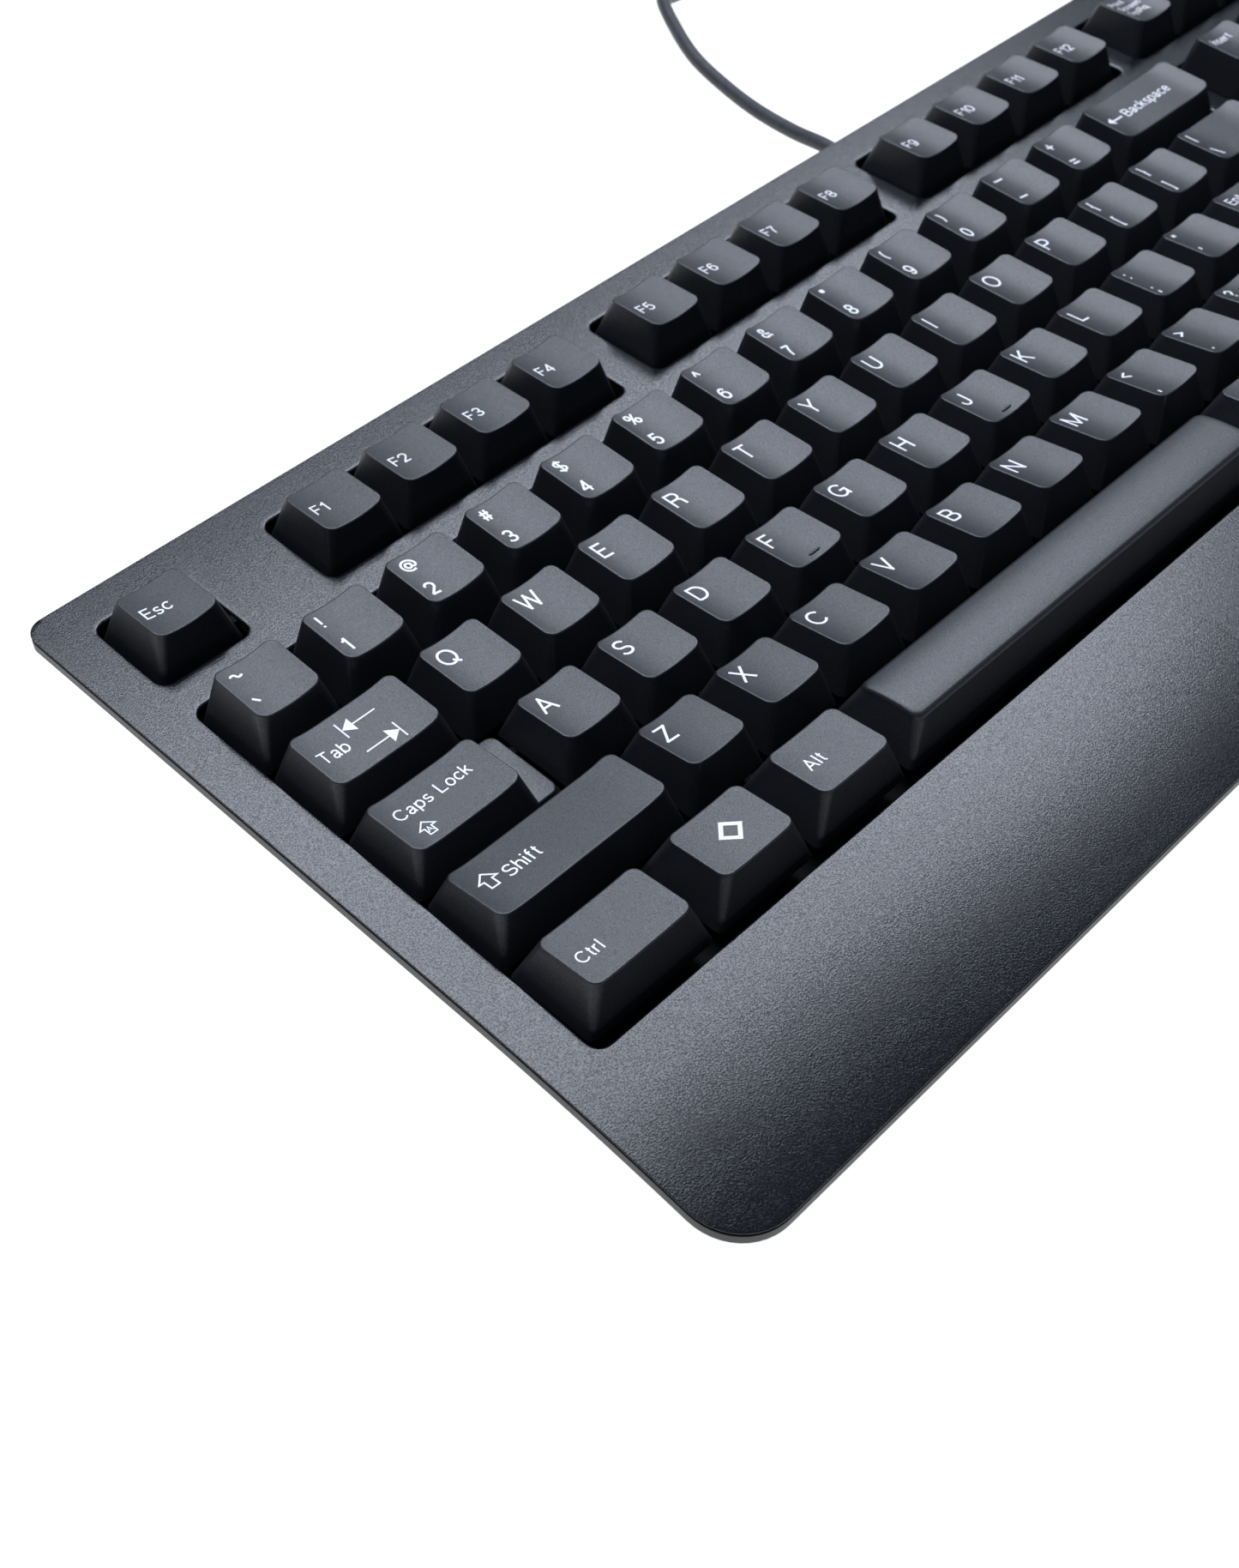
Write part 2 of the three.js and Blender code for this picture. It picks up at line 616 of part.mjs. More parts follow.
// Caps lock is stepped: a raised part on the left and a low shelf over the rest of its width.
function steppedCap(key) {
  const row = ROWS[key.row];
  const shelf = {
    ...key,
    width: key.width - CAPS_SHELF_START,
    x: key.x + CAPS_SHELF_START / 2,
    depth: key.depth - CAPS_SHELF_SETBACK,
  };
  const raisedWidth = CAPS_RAISED_UNITS * UNIT;
  const raised = { ...key, width: raisedWidth, x: key.x - (key.width - raisedWidth) / 2 };
  const shell = capOuter(raised, row, DISH.letter, 0).add(capOuter(shelf, CAPS_SHELF, 0, 0));
  const hollow = shell
    .subtract(capPocket(raised, row, DISH.letter))
    .subtract(capPocket(shelf, CAPS_SHELF, 0));
  return hollow.add(capPost(raised.x, key.y, row, DISH.letter));
}

const switchX = (key) =>
  key.name === "caps_lock" ? key.x - (key.width - CAPS_RAISED_UNITS * UNIT) / 2 : key.x;

const capSolid = (key) => (key.name === "caps_lock" ? steppedCap(key) : plainCap(key));

const TAB = { reach: KEY_GAP + CAP_WALL, width: 3, height: 1 };
const LEAST_FACING = 6; // skirts facing each other over less than this get no tab
const touching = (a, b) => Math.abs(a - b) < 1;

// A thin tab that joins two neighbouring skirts, either side by side or one behind the other.
function skirtTab(x, y, sideBySide) {
  const { reach, width, height } = TAB;
  const size = sideBySide ? { x: reach, y: width, z: height } : { x: width, y: reach, z: height };
  return box(size, { x, y, z: SKIRT_BOTTOM + height / 2 });
}

function blockTabs(keys) {
  const tabs = [];
  for (const key of keys) {
    const rightSide = key.x + key.width / 2;
    const neighbour = keys.find((k) => k.row === key.row && touching(k.x - k.width / 2, rightSide));
    if (neighbour) {
      tabs.push(skirtTab(rightSide, ROWS[key.row].y, true));
    }
  }
  const rowNames = Object.keys(ROWS).filter((name) => keys.some((k) => k.row === name));
  for (const rowName of rowNames.slice(1)) {
    const key = keys.find((k) => k.row === rowName && behind(k, keys));
    const other = behind(key, keys);
    const left = Math.max(key.x - key.width / 2, other.x - other.width / 2);
    const right = Math.min(key.x + key.width / 2, other.x + other.width / 2);
    tabs.push(skirtTab((left + right) / 2, key.y + key.depth / 2, false));
  }
  return tabs;
}

// The key directly behind this one whose skirt faces enough of its own.
function behind(key, keys) {
  return keys.find((k) => {
    const facing = touching(k.y - k.depth / 2, key.y + key.depth / 2);
    const left = Math.max(key.x - key.width / 2, k.x - k.width / 2);
    const right = Math.min(key.x + key.width / 2, k.x + k.width / 2);
    return facing && right - left > LEAST_FACING;
  });
}

function keyBlock(names) {
  const keys = names.map((name) => KEYS.find((key) => key.name === name));
  let solid = capSolid(keys[0]);
  for (const key of keys.slice(1)) {
    solid = solid.add(capSolid(key));
  }
  for (const tab of blockTabs(keys)) {
    solid = solid.add(tab);
  }
  return toGeometry(solid);
}

// ---- switches, plate and circuit board ----
const INNER = {
  left: 0.8, right: PAD_RIGHT - 0.8, front: ROWS.bottom.y - 9, rear: ROWS.function.y + 8.2,
};

function switchPlate() {
  const ring = (z) => roundedRing(INNER, BOARD_RADIUS, BOARD_RADIUS, z);
  let solid = loft(ring(PLATE_TOP - PLATE_THICKNESS), ring(PLATE_TOP));
  for (const key of KEYS) {
    const size = { x: PLATE_CUTOUT, y: PLATE_CUTOUT, z: 6 };
    solid = solid.subtract(box(size, { x: switchX(key), y: key.y, z: PLATE_TOP }));
  }
  return toGeometry(solid);
}

function switchHousing(key) {
  const centre = { x: switchX(key), y: key.y };
  const lower = rectangleRing(HOUSING_BASE / 2, HOUSING_BASE / 2, centre, () => HOUSING_BOTTOM);
  const upper = rectangleRing(HOUSING_CROWN / 2, HOUSING_CROWN / 2, centre, () => HOUSING_TOP);
  return loft(lower, upper);
}

// The well in each housing that the cap's post slides down.
function switchWell(key) {
  const floor = POST_BOTTOM - KEY_TRAVEL - WELL_MARGIN;
  const size = { x: HOUSING_WELL, y: HOUSING_WELL, z: 2 * (HOUSING_TOP - floor) };
  return box(size, { x: switchX(key), y: key.y, z: HOUSING_TOP });
}

// Slim rails just above the plate carry all the housings as one moulded bank.
function housingRails() {
  const z = PLATE_TOP + RAIL.rise;
  const firstColumn = UNIT / 2;
  const lastColumn = PAD_RIGHT - UNIT / 2;
  const rails = Object.values(ROWS).map((row) => {
    const right = Math.max(...KEYS.filter((key) => key.y === row.y).map(switchX));
    const size = { x: right - firstColumn, y: RAIL.width, z: RAIL.height };
    return box(size, { x: (firstColumn + right) / 2, y: row.y, z });
  });
  for (const [x, rearRow] of [[firstColumn, "function"], [lastColumn, "number"]]) {
    const [front, rear] = [ROWS.bottom.y, ROWS[rearRow].y];
    const size = { x: RAIL.width, y: rear - front, z: RAIL.height };
    rails.push(box(size, { x, y: (front + rear) / 2, z }));
  }
  return rails;
}

function switchHousings() {
  let solid = switchHousing(KEYS[0]);
  for (const key of KEYS.slice(1)) {
    solid = solid.add(switchHousing(key));
  }
  for (const rail of housingRails()) {
    solid = solid.add(rail);
  }
  for (const key of KEYS) {
    solid = solid.subtract(switchWell(key));
  }
  return toGeometry(solid);
}

function circuitBoard() {
  const ring = (z) => roundedRing(INNER, BOARD_RADIUS, BOARD_RADIUS, z);
  return toGeometry(loft(ring(BOARD_TOP - BOARD_THICKNESS), ring(BOARD_TOP)));
}

function controllerChip() {
  const size = { x: CHIP.side, y: CHIP.side, z: CHIP.height };
  const top = BOARD_TOP - BOARD_THICKNESS - SEAM;
  return toGeometry(box(size, { x: CABLE_EXIT.x, y: CHIP.y, z: top - CHIP.height / 2 }));
}

// ---- cable ----
const GROMMET = {
  neckRadius: 3.4, headRadius: 4.6, headLength: 2.4, tailRadius: 2.8, tail: 9, standOff: 1.5,
  flange: 1.6,
};
const WALL_OUTSIDE = taperedBounds(CASE_INSET, CABLE_EXIT.z).rear;

// A moulded collar through the rear wall: inner flange, neck, outer flange, tapering tail.
function cableGrommet() {
  const bore = CABLE_RADIUS + SEAM;
  const outside = GROMMET.standOff;
  const inside = -CASE_WALL - GROMMET.standOff;
  const { flange } = GROMMET;
  const profile = [
    [bore, inside - flange], [GROMMET.headRadius, inside - flange], [GROMMET.headRadius, inside],
    [GROMMET.neckRadius, inside], [GROMMET.neckRadius, outside], [GROMMET.headRadius, outside],
    [GROMMET.headRadius, outside + GROMMET.headLength], [GROMMET.tailRadius, outside + GROMMET.tail],
    [bore, outside + GROMMET.tail], [bore, inside - flange],
  ];
  const points = profile.map(([radius, along]) => new THREE.Vector2(radius, along));
  const geometry = new THREE.LatheGeometry(points, 16);
  const merged = toSolid(geometry);
  return toGeometry(merged).translate(CABLE_EXIT.x, WALL_OUTSIDE, CABLE_EXIT.z);
}

const LIFT = PAD_PROUD + UNDERSIDE_DEPTH * Math.cos(DECK_TILT);

// From the deck frame to the desk frame, the frame the whole keyboard is given in.
function toDesk(point) {
  const moved = point.clone().sub(new THREE.Vector3(DECK_CENTRE.x, DECK_CENTRE.y, 0));
  return moved.applyAxisAngle(new THREE.Vector3(1, 0, 0), DECK_TILT).add(new THREE.Vector3(0, 0, LIFT));
}

const PLUG = {
  start: new THREE.Vector3(128, 137, 4), bootLength: 26, bootWidth: 15, bootHeight: 8,
  shellLength: 18.5, shellWidth: 12, shellHeight: 4.5, shellWall: 0.4, bore: 9,
};

// Deck-frame points the cable passes through behind the case, before it sinks to the desk.
const CABLE_RISE = [
  [CABLE_EXIT.x, 75.6, -13], [CABLE_EXIT.x, 82, -13], [CABLE_EXIT.x, 90, -13], [228.1, 99.1, -13.5],
  [230.1, 110.4, -15.5], [232.9, 125, -17], [237.1, 139.7, -18], [242, 154.8, -18],
  [249.7, 169.2, -18], [258.5, 182, -18.5],
];

function cablePath() {
  const points = CABLE_RISE.map(([x, y, z]) => toDesk(new THREE.Vector3(x, y, z)));
  const last = points[points.length - 1];
  const { start, bore } = PLUG;
  points.push(new THREE.Vector3(last.x + 14, last.y + 10, 8));
  points.push(new THREE.Vector3(last.x + 34, last.y + 12, 4));
  points.push(new THREE.Vector3(start.x - 14, start.y + 12, 3));
  points.push(new THREE.Vector3(start.x - 4, start.y + 1, start.z));
  points.push(new THREE.Vector3(start.x + bore - 1, start.y, start.z));
  return new THREE.CatmullRomCurve3(points, false, "centripetal");
}

function usbCable() {
  const ring = new THREE.Shape();
  ring.absarc(0, 0, CABLE_RADIUS, 0, 2 * Math.PI);
  const geometry = new THREE.ExtrudeGeometry(ring, {
    steps: 44, curveSegments: 3, bevelEnabled: false, extrudePath: cablePath(),
  });
  return toGeometry(toSolid(geometry));
}

function plugBoot() {
  const { start, bootLength, bootWidth, bootHeight, bore } = PLUG;
  const bounds = {
    left: -bootLength / 2, right: bootLength / 2, front: -bootWidth / 2, rear: bootWidth / 2,
  };
  const ring = (z) => roundedRing(bounds, 3, 3, z);
  const centre = { x: -bootLength / 2, y: 0, z: bootHeight / 2 };
  const axis = new THREE.Vector3(1, 0, 0);
  const hole = cylinder(CABLE_RADIUS + SEAM, 2 * bore, axis, centre, 12);
  const solid = loft(ring(0), ring(bootHeight)).subtract(hole);
  return toGeometry(solid).translate(start.x + bootLength / 2, start.y, start.z - bootHeight / 2);
}

function plugShell() {
  const { start, bootLength, shellLength, shellWidth, shellHeight, shellWall } = PLUG;
  const outer = box({ x: shellLength, y: shellWidth, z: shellHeight }, { x: 0, y: 0, z: 0 });
  const hollow = {
    x: shellLength, y: shellWidth - 2 * shellWall, z: shellHeight - 2 * shellWall,
  };
  const solid = outer.subtract(box(hollow, { x: 1, y: 0, z: 0 }));
  const centreX = start.x + bootLength + SEAM + shellLength / 2;
  return toGeometry(solid).translate(centreX, start.y, start.z);
}

// ---- assembly ----
function named(name, geometry, material) {
  const mesh = new THREE.Mesh(geometry, material);
  mesh.name = name;
  return mesh;
}

function keyMeshes() {
  const inBlock = new Set(Object.values(KEY_BLOCKS).flat());
  const meshes = KEYS.filter((key) => !inBlock.has(key.name)).map((key) =>
    named(`key_${key.name}`, toGeometry(capSolid(key)), MATERIALS.keycap),
  );
  for (const [name, names] of Object.entries(KEY_BLOCKS)) {
    meshes.push(named(name, keyBlock(names), MATERIALS.keycap));
  }
  return meshes;
}

const deckFrame = new THREE.Group();
deckFrame.add(
  named("top_case", topCase(), MATERIALS.deck),
  named("trim_band", trimBand(), MATERIALS.band),
  named("bottom_case", bottomCase(), MATERIALS.shell),
  named("indicator_lens", indicatorLens(), MATERIALS.lens),
  named("switch_plate", switchPlate(), MATERIALS.plate),
  named("switch_housings", switchHousings(), MATERIALS.housing),
  named("circuit_board", circuitBoard(), MATERIALS.board),
  named("controller_chip", controllerChip(), MATERIALS.chip),
  named("cable_grommet", cableGrommet(), MATERIALS.rubber),
  named("tilt_foot_left", tiltFoot(FOOT_X[0]), MATERIALS.shell),
  named("tilt_foot_right", tiltFoot(FOOT_X[1]), MATERIALS.shell),
  ...padPositions().map((pad) => named(pad.name, rubberFoot(pad), MATERIALS.rubber)),
  ...keyMeshes(),
);
deckFrame.position.set(-DECK_CENTRE.x, -DECK_CENTRE.y, 0);

const tilted = new THREE.Group();
tilted.add(deckFrame);
tilted.rotation.x = DECK_TILT;
tilted.position.z = LIFT;

// The origin is on the desk, under the middle of the whole footprint, cable included.
const keyboard = new THREE.Group();
keyboard.name = "mechanical_keyboard";
keyboard.add(
  tilted,
  named("usb_cable", usbCable(), MATERIALS.cable),
  named("usb_plug_boot", plugBoot(), MATERIALS.rubber),
  named("usb_plug_shell", plugShell(), MATERIALS.plug),
);
const footprint = new THREE.Box3().setFromObject(keyboard, true);
keyboard.position.y = -(footprint.min.y + footprint.max.y) / 2;

export default keyboard;
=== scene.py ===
"""Looks for the full-size mechanical keyboard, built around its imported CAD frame.

Shapes are laid out in millimetres in the deck frame: Z = 0 is the deck's flat top, X = 0 the left
side of the main key block, Y = 0 the home row. DECK_TO_DESK carries them to the desk frame in metres.
"""

import math

import bmesh
import bpy
from mathutils import Matrix, Vector
from mathutils.geometry import delaunay_2d_cdt


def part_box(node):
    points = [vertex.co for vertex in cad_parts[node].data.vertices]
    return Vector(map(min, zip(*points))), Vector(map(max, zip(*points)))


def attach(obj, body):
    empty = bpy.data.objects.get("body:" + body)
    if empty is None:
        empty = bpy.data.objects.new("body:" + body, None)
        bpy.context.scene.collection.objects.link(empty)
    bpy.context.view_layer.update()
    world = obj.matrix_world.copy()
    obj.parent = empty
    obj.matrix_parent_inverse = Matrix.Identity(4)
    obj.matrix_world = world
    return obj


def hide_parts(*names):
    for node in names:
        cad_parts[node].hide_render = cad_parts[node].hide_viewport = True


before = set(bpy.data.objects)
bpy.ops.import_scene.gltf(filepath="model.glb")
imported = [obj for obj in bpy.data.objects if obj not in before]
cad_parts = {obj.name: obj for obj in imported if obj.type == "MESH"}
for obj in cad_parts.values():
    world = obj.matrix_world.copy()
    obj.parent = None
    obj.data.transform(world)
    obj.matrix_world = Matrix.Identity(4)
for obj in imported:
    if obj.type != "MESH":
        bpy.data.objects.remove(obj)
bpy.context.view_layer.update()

# ---- dimensions shared with the CAD, in millimetres ----
UNIT = 19.05
DECK_TILT = math.radians(3)
BLOCK_GAP = 8
MAIN_WIDTH = 15 * UNIT
NAV_LEFT = MAIN_WIDTH + BLOCK_GAP
PAD_LEFT = NAV_LEFT + 3 * UNIT + BLOCK_GAP
PAD_RIGHT = PAD_LEFT + 4 * UNIT
DECK = {"left": -9.4, "right": PAD_RIGHT + 9.4, "front": -86.5, "rear": 85.2}
DECK_CENTRE = ((DECK["left"] + DECK["right"]) / 2, (DECK["front"] + DECK["rear"]) / 2)
FRONT_RADIUS = 10.5
REAR_RADIUS = 4
ROLL_START = -30
ROLL_RADIUS = 370
DECK_THICKNESS = 2.2
SEAM = 0.3
BAND_BOTTOM = 2.9
BAND_WIDTH = 2.6
UNDERSIDE_DEPTH = 22.7
PAD_PROUD = 1.5
PAD_HEIGHT = 2.2
LIFT = PAD_PROUD + UNDERSIDE_DEPTH * math.cos(DECK_TILT)
SKIRT_BOTTOM = -2.4
KEY_GAP = 0.95
DISH_REACH = 6.6
CABLE_RADIUS = 1.8
CABLE_EXIT = (226.5, 83, -13)

# Row: y of its keys, height of the cap's rim, slope (rear edge higher), shift of the top to the
# rear, depth of the top, and how much narrower the top is than the key's pitch.
ROWS = {
    "function": dict(y=3.5 * UNIT, rim=7.1, slope=-1.5, shift=-0.3, depth=13.8, inset=5.85),
    "number": dict(y=2 * UNIT, rim=8.35, slope=2.5, shift=0.35, depth=13.8, inset=5.85),
    "upper": dict(y=UNIT, rim=6.8, slope=0.3, shift=0.15, depth=13.8, inset=5.85),
    "home": dict(y=0, rim=5.95, slope=-4, shift=0.15, depth=13.8, inset=5.85),
    "lower": dict(y=-UNIT, rim=6.3, slope=-9, shift=0.15, depth=13.8, inset=5.85),
    "bottom": dict(y=-2 * UNIT, rim=6.9, slope=-6, shift=-0.4, depth=13.2, inset=7.2),
}
LETTER_DISH = 0.95
BOTTOM_DISH = 0.45
SPACEBAR_CROWN = 0.8


def deck_height(y):
    """Height of the deck's top at a distance y from the home row: flat, then rolling away."""
    past = max(ROLL_START - y, 0)
    return math.sqrt(ROLL_RADIUS ** 2 - past ** 2) - ROLL_RADIUS


# DECK_TO_LEVEL tilts the deck frame and lifts it onto its feet, still in millimetres. DESK then
# turns millimetres to metres and moves them to the CAD's origin, found from the deck's front edge.
DECK_TO_LEVEL = (
    Matrix.Translation((0, 0, LIFT))
    @ Matrix.Rotation(DECK_TILT, 4, "X")
    @ Matrix.Translation((-DECK_CENTRE[0], -DECK_CENTRE[1], 0))
)
FRONT_EDGE = DECK_TO_LEVEL @ Vector((0, DECK["front"], deck_height(DECK["front"])))
SET_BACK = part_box("top_case")[0].y - FRONT_EDGE.y / 1000
DESK = Matrix.Translation((0, SET_BACK, 0)) @ Matrix.Scale(0.001, 4)
DECK_TO_DESK = DESK @ DECK_TO_LEVEL

# ---- the keys ----
# A row lists (name, width in units); a bare number is an empty space in units, and a third entry
# of 2 marks a key two rows deep.
def one_unit(names):
    return [(name, 1) for name in names.split()]


MAIN_KEYS = {
    "function": [("esc", 1), 1, *one_unit("f1 f2 f3 f4"), 0.5, *one_unit("f5 f6 f7 f8"), 0.5,
                 *one_unit("f9 f10 f11 f12")],
    "number": [*one_unit("grave 1 2 3 4 5 6 7 8 9 0 minus equals"), ("backspace", 2)],
    "upper": [("tab", 1.5), *one_unit("q w e r t y u i o p bracket_left bracket_right"),
              ("backslash", 1.5)],
    "home": [("caps_lock", 1.75), *one_unit("a s d f g h j k l semicolon quote"), ("enter", 2.25)],
    "lower": [("shift_left", 2.25), *one_unit("z x c v b n m comma period slash"),
              ("shift_right", 2.75)],
    "bottom": [("ctrl_left", 1.5), ("system_left", 1.25), ("alt_left", 1.25), ("space", 5.75),
               ("alt_right", 1.25), ("system_right", 1.25), ("menu", 1.25), ("ctrl_right", 1.5)],
}
NAV_KEYS = {
    "function": one_unit("print_screen scroll_lock pause"),
    "number": one_unit("insert home page_up"),
    "upper": one_unit("delete end page_down"),
    "lower": [1, ("arrow_up", 1)],
    "bottom": one_unit("arrow_left arrow_down arrow_right"),
}
PAD_KEYS = {
    "number": one_unit("num_lock pad_divide pad_multiply pad_subtract"),
    "upper": [*one_unit("pad_7 pad_8 pad_9"), ("pad_add", 1, 2)],
    "home": one_unit("pad_4 pad_5 pad_6"),
    "lower": [*one_unit("pad_1 pad_2 pad_3"), ("pad_enter", 1, 2)],
    "bottom": [("pad_0", 2), ("pad_decimal", 1)],
}
# Keys that share one CAD body.
KEY_BLOCKS = {
    "keys_f1_f4": "f1 f2 f3 f4",
    "keys_f5_f8": "f5 f6 f7 f8",
    "keys_f9_f12": "f9 f10 f11 f12",
    "keys_print_pause": "print_screen scroll_lock pause",
    "keys_number_row": "grave 1 2 3 4 5 6 7 8 9 0 minus equals",
    "keys_right_letters": "y u i o p k l",
    "keys_punctuation": "bracket_left bracket_right semicolon quote comma period slash",
    "keys_right_modifiers": "alt_right system_right menu ctrl_right",
    "keys_navigation": "insert home page_up delete end page_down",
    "keys_arrows": "arrow_up arrow_left arrow_down arrow_right",
    "keys_numpad": "num_lock pad_divide pad_multiply pad_subtract pad_7 pad_8 pad_9 pad_add "
                   "pad_4 pad_5 pad_6 pad_1 pad_2 pad_3 pad_enter pad_0 pad_decimal",
}
BODY_OF_KEY = {key: body for body, keys in KEY_BLOCKS.items() for key in keys.split()}


def place_keys(cluster, left):
    """Every key of a cluster whose left side is at left, with its middle and its size."""
    placed = []
    for row, entries in cluster.items():
        x = left
        for entry in entries:
            if not isinstance(entry, tuple):
                x += entry * UNIT
                continue
            name, units = entry[:2]
            rows_deep = entry[2] if len(entry) > 2 else 1
            width = units * UNIT
            y = ROWS[row]["y"] - (rows_deep - 1) * UNIT / 2
            placed.append(dict(name=name, row=row, x=x + width / 2, y=y, width=width,
                               depth=rows_deep * UNIT))
            x += width
    return placed


KEYS = [
    *place_keys(MAIN_KEYS, 0),
    *place_keys(NAV_KEYS, NAV_LEFT),
    *place_keys(PAD_KEYS, PAD_LEFT),
]


def body_of_key(name):
    """The CAD body that a key moves with."""
    return BODY_OF_KEY.get(name, "key_" + name)


# ---- materials ----
class Shader:
    """A thin wrapper that adds nodes to a material and links them by name."""

    def __init__(self, name):
        self.material = bpy.data.materials.new(name)
        self.material.use_nodes = True
        self.tree = self.material.node_tree
        self.surface = self.tree.nodes["Principled BSDF"]
        self.coordinates = self.add("ShaderNodeTexCoord").outputs["Object"]

    def add(self, kind, **settings):
        node = self.tree.nodes.new(kind)
        for key, value in settings.items():
            if hasattr(node, key):
                setattr(node, key, value)
            else:
                node.inputs[key.replace("_", " ").title()].default_value = value
        return node

    def link(self, output, target):
        self.tree.links.new(output, target)

    def noise(self, size_mm, detail=2.0, roughness=0.5, stretch=(1, 1, 1)):
        mapping = self.add("ShaderNodeMapping")
        mapping.inputs["Scale"].default_value = stretch
        self.link(self.coordinates, mapping.inputs["Vector"])
        node = self.add("ShaderNodeTexNoise", Scale=1000 / size_mm, Detail=detail, Roughness=roughness)
        self.link(mapping.outputs["Vector"], node.inputs["Vector"])
        return node.outputs["Fac"]

    def ramp(self, value, low, high, out_low, out_high):
        node = self.add("ShaderNodeMapRange")
        limits = {"From Min": low, "From Max": high, "To Min": out_low, "To Max": out_high}
        for name, number in limits.items():
            node.inputs[name].default_value = number
        self.link(value, node.inputs["Value"])
        return node.outputs["Result"]

    def patches(self, size_mm, detail, low=0.3):
        """Soft patches, from 0 to 1, that shade a colour from its dark to its light tone."""
        return self.ramp(self.noise(size_mm, detail), low, 1 - low, 0, 1)

    def mix(self, factor, dark, light):
        node = self.add("ShaderNodeMix", data_type="RGBA")
        self.link(factor, node.inputs["Factor"])
        node.inputs["A"].default_value = (*dark, 1)
        node.inputs["B"].default_value = (*light, 1)
        return node.outputs["Result"]

    def bump(self, height, depth_mm, after=None):
        node = self.add("ShaderNodeBump", Strength=1.0, Distance=depth_mm / 1000)
        self.link(height, node.inputs["Height"])
        if after is not None:
            self.link(after, node.inputs["Normal"])
        return node.outputs["Normal"]

    def finish(self, **inputs):
        for name, value in inputs.items():
            target = self.surface.inputs[name.replace("_", " ")]
            if isinstance(value, bpy.types.NodeSocket):
                self.link(value, target)
            else:
                target.default_value = value
        return self.material


def moulded_plastic(name, dark, light, grain_mm, grain_depth, gloss, level=0.5, glint=0.0):
    """Moulded plastic with an eroded grain; glint is how much more the grain's ridges shine."""
    shader = Shader(name)
    tone = shader.patches(18, 3)
    grain = shader.noise(grain_mm, 2, 0.55)
    normal = shader.bump(grain, grain_depth)
    normal = shader.bump(shader.noise(grain_mm * 0.45, 2), grain_depth * 0.25, after=normal)
    return shader.finish(
        Base_Color=shader.mix(tone, dark, light), Normal=normal,
        Roughness=shader.ramp(grain, 0.35, 0.65, gloss + 0.04, gloss - 0.04),
        Specular_IOR_Level=shader.ramp(grain, 0.38, 0.62, level - glint, level + glint),
    )


def keycap_plastic():
    """Satin keycap plastic with a fine, even texture."""
    shader = Shader("keycap_satin")
    tone = shader.patches(9, 2)
    fine = shader.noise(0.17, 2, 0.6)
    normal = shader.bump(fine, 0.014)
    normal = shader.bump(shader.noise(0.5, 2), 0.008, after=normal)
    return shader.finish(
        Base_Color=shader.mix(tone, (0.0150, 0.0160, 0.0190), (0.0175, 0.0188, 0.0222)),
        Roughness=shader.ramp(fine, 0.3, 0.7, 0.42, 0.34), Normal=normal,
        Specular_IOR_Level=shader.ramp(fine, 0.38, 0.62, 0.30, 0.64),
    )


def legend_ink():
    """The white ink of the legends."""
    shader = Shader("legend_ink")
    tone = shader.patches(0.3, 3)
    normal = shader.bump(shader.noise(0.15, 2), 0.004)
    return shader.finish(
        Base_Color=shader.mix(tone, (0.78, 0.79, 0.81), (0.88, 0.89, 0.90)), Roughness=0.42,
        Normal=normal,
    )


def rubber(name, dark, light, gloss):
    """Dull, slightly pitted rubber."""
    shader = Shader(name)
    tone = shader.patches(1.5, 4, 0.35)
    normal = shader.bump(shader.noise(0.35, 4, 0.65), 0.03)
    return shader.finish(
        Base_Color=shader.mix(tone, dark, light), Roughness=gloss, Normal=normal,
        Specular_IOR_Level=0.3,
    )


def brushed_metal(name, dark, light, gloss, stretch):
    """Metal with fine parallel brush lines along the stretched direction."""
    shader = Shader(name)
    lines = shader.noise(0.4, 5, 0.6, stretch)
    tone = shader.ramp(lines, 0.3, 0.7, 0, 1)
    return shader.finish(
        Base_Color=shader.mix(tone, dark, light), Metallic=1.0,
        Roughness=shader.ramp(lines, 0.3, 0.7, gloss - 0.07, gloss + 0.07),
        Normal=shader.bump(lines, 0.006),
    )


def board_laminate():
    """Green solder mask over copper tracks."""
    shader = Shader("board_laminate")
    tracks = shader.add("ShaderNodeTexBrick", Scale=220.0, offset=0.37, squash=1.6)
    shader.link(shader.coordinates, tracks.inputs["Vector"])
    tracks.inputs["Mortar Size"].default_value = 0.06
    tone = shader.ramp(tracks.outputs["Fac"], 0, 1, 0, 1)
    normal = shader.bump(tracks.outputs["Fac"], 0.03)
    normal = shader.bump(shader.noise(0.25, 3), 0.004, after=normal)
    return shader.finish(
        Base_Color=shader.mix(tone, (0.010, 0.060, 0.022), (0.022, 0.120, 0.040)), Roughness=0.35,
        Normal=normal,
    )


def clear_lens():
    """The frosted window over the indicator lights."""
    shader = Shader("lens_diffuser")
    tone = shader.patches(0.8, 3)
    return shader.finish(
        Base_Color=shader.mix(tone, (0.32, 0.34, 0.36), (0.42, 0.44, 0.46)), Roughness=0.18,
        Normal=shader.bump(shader.noise(0.3, 2), 0.004), Coat_Weight=0.4,
    )


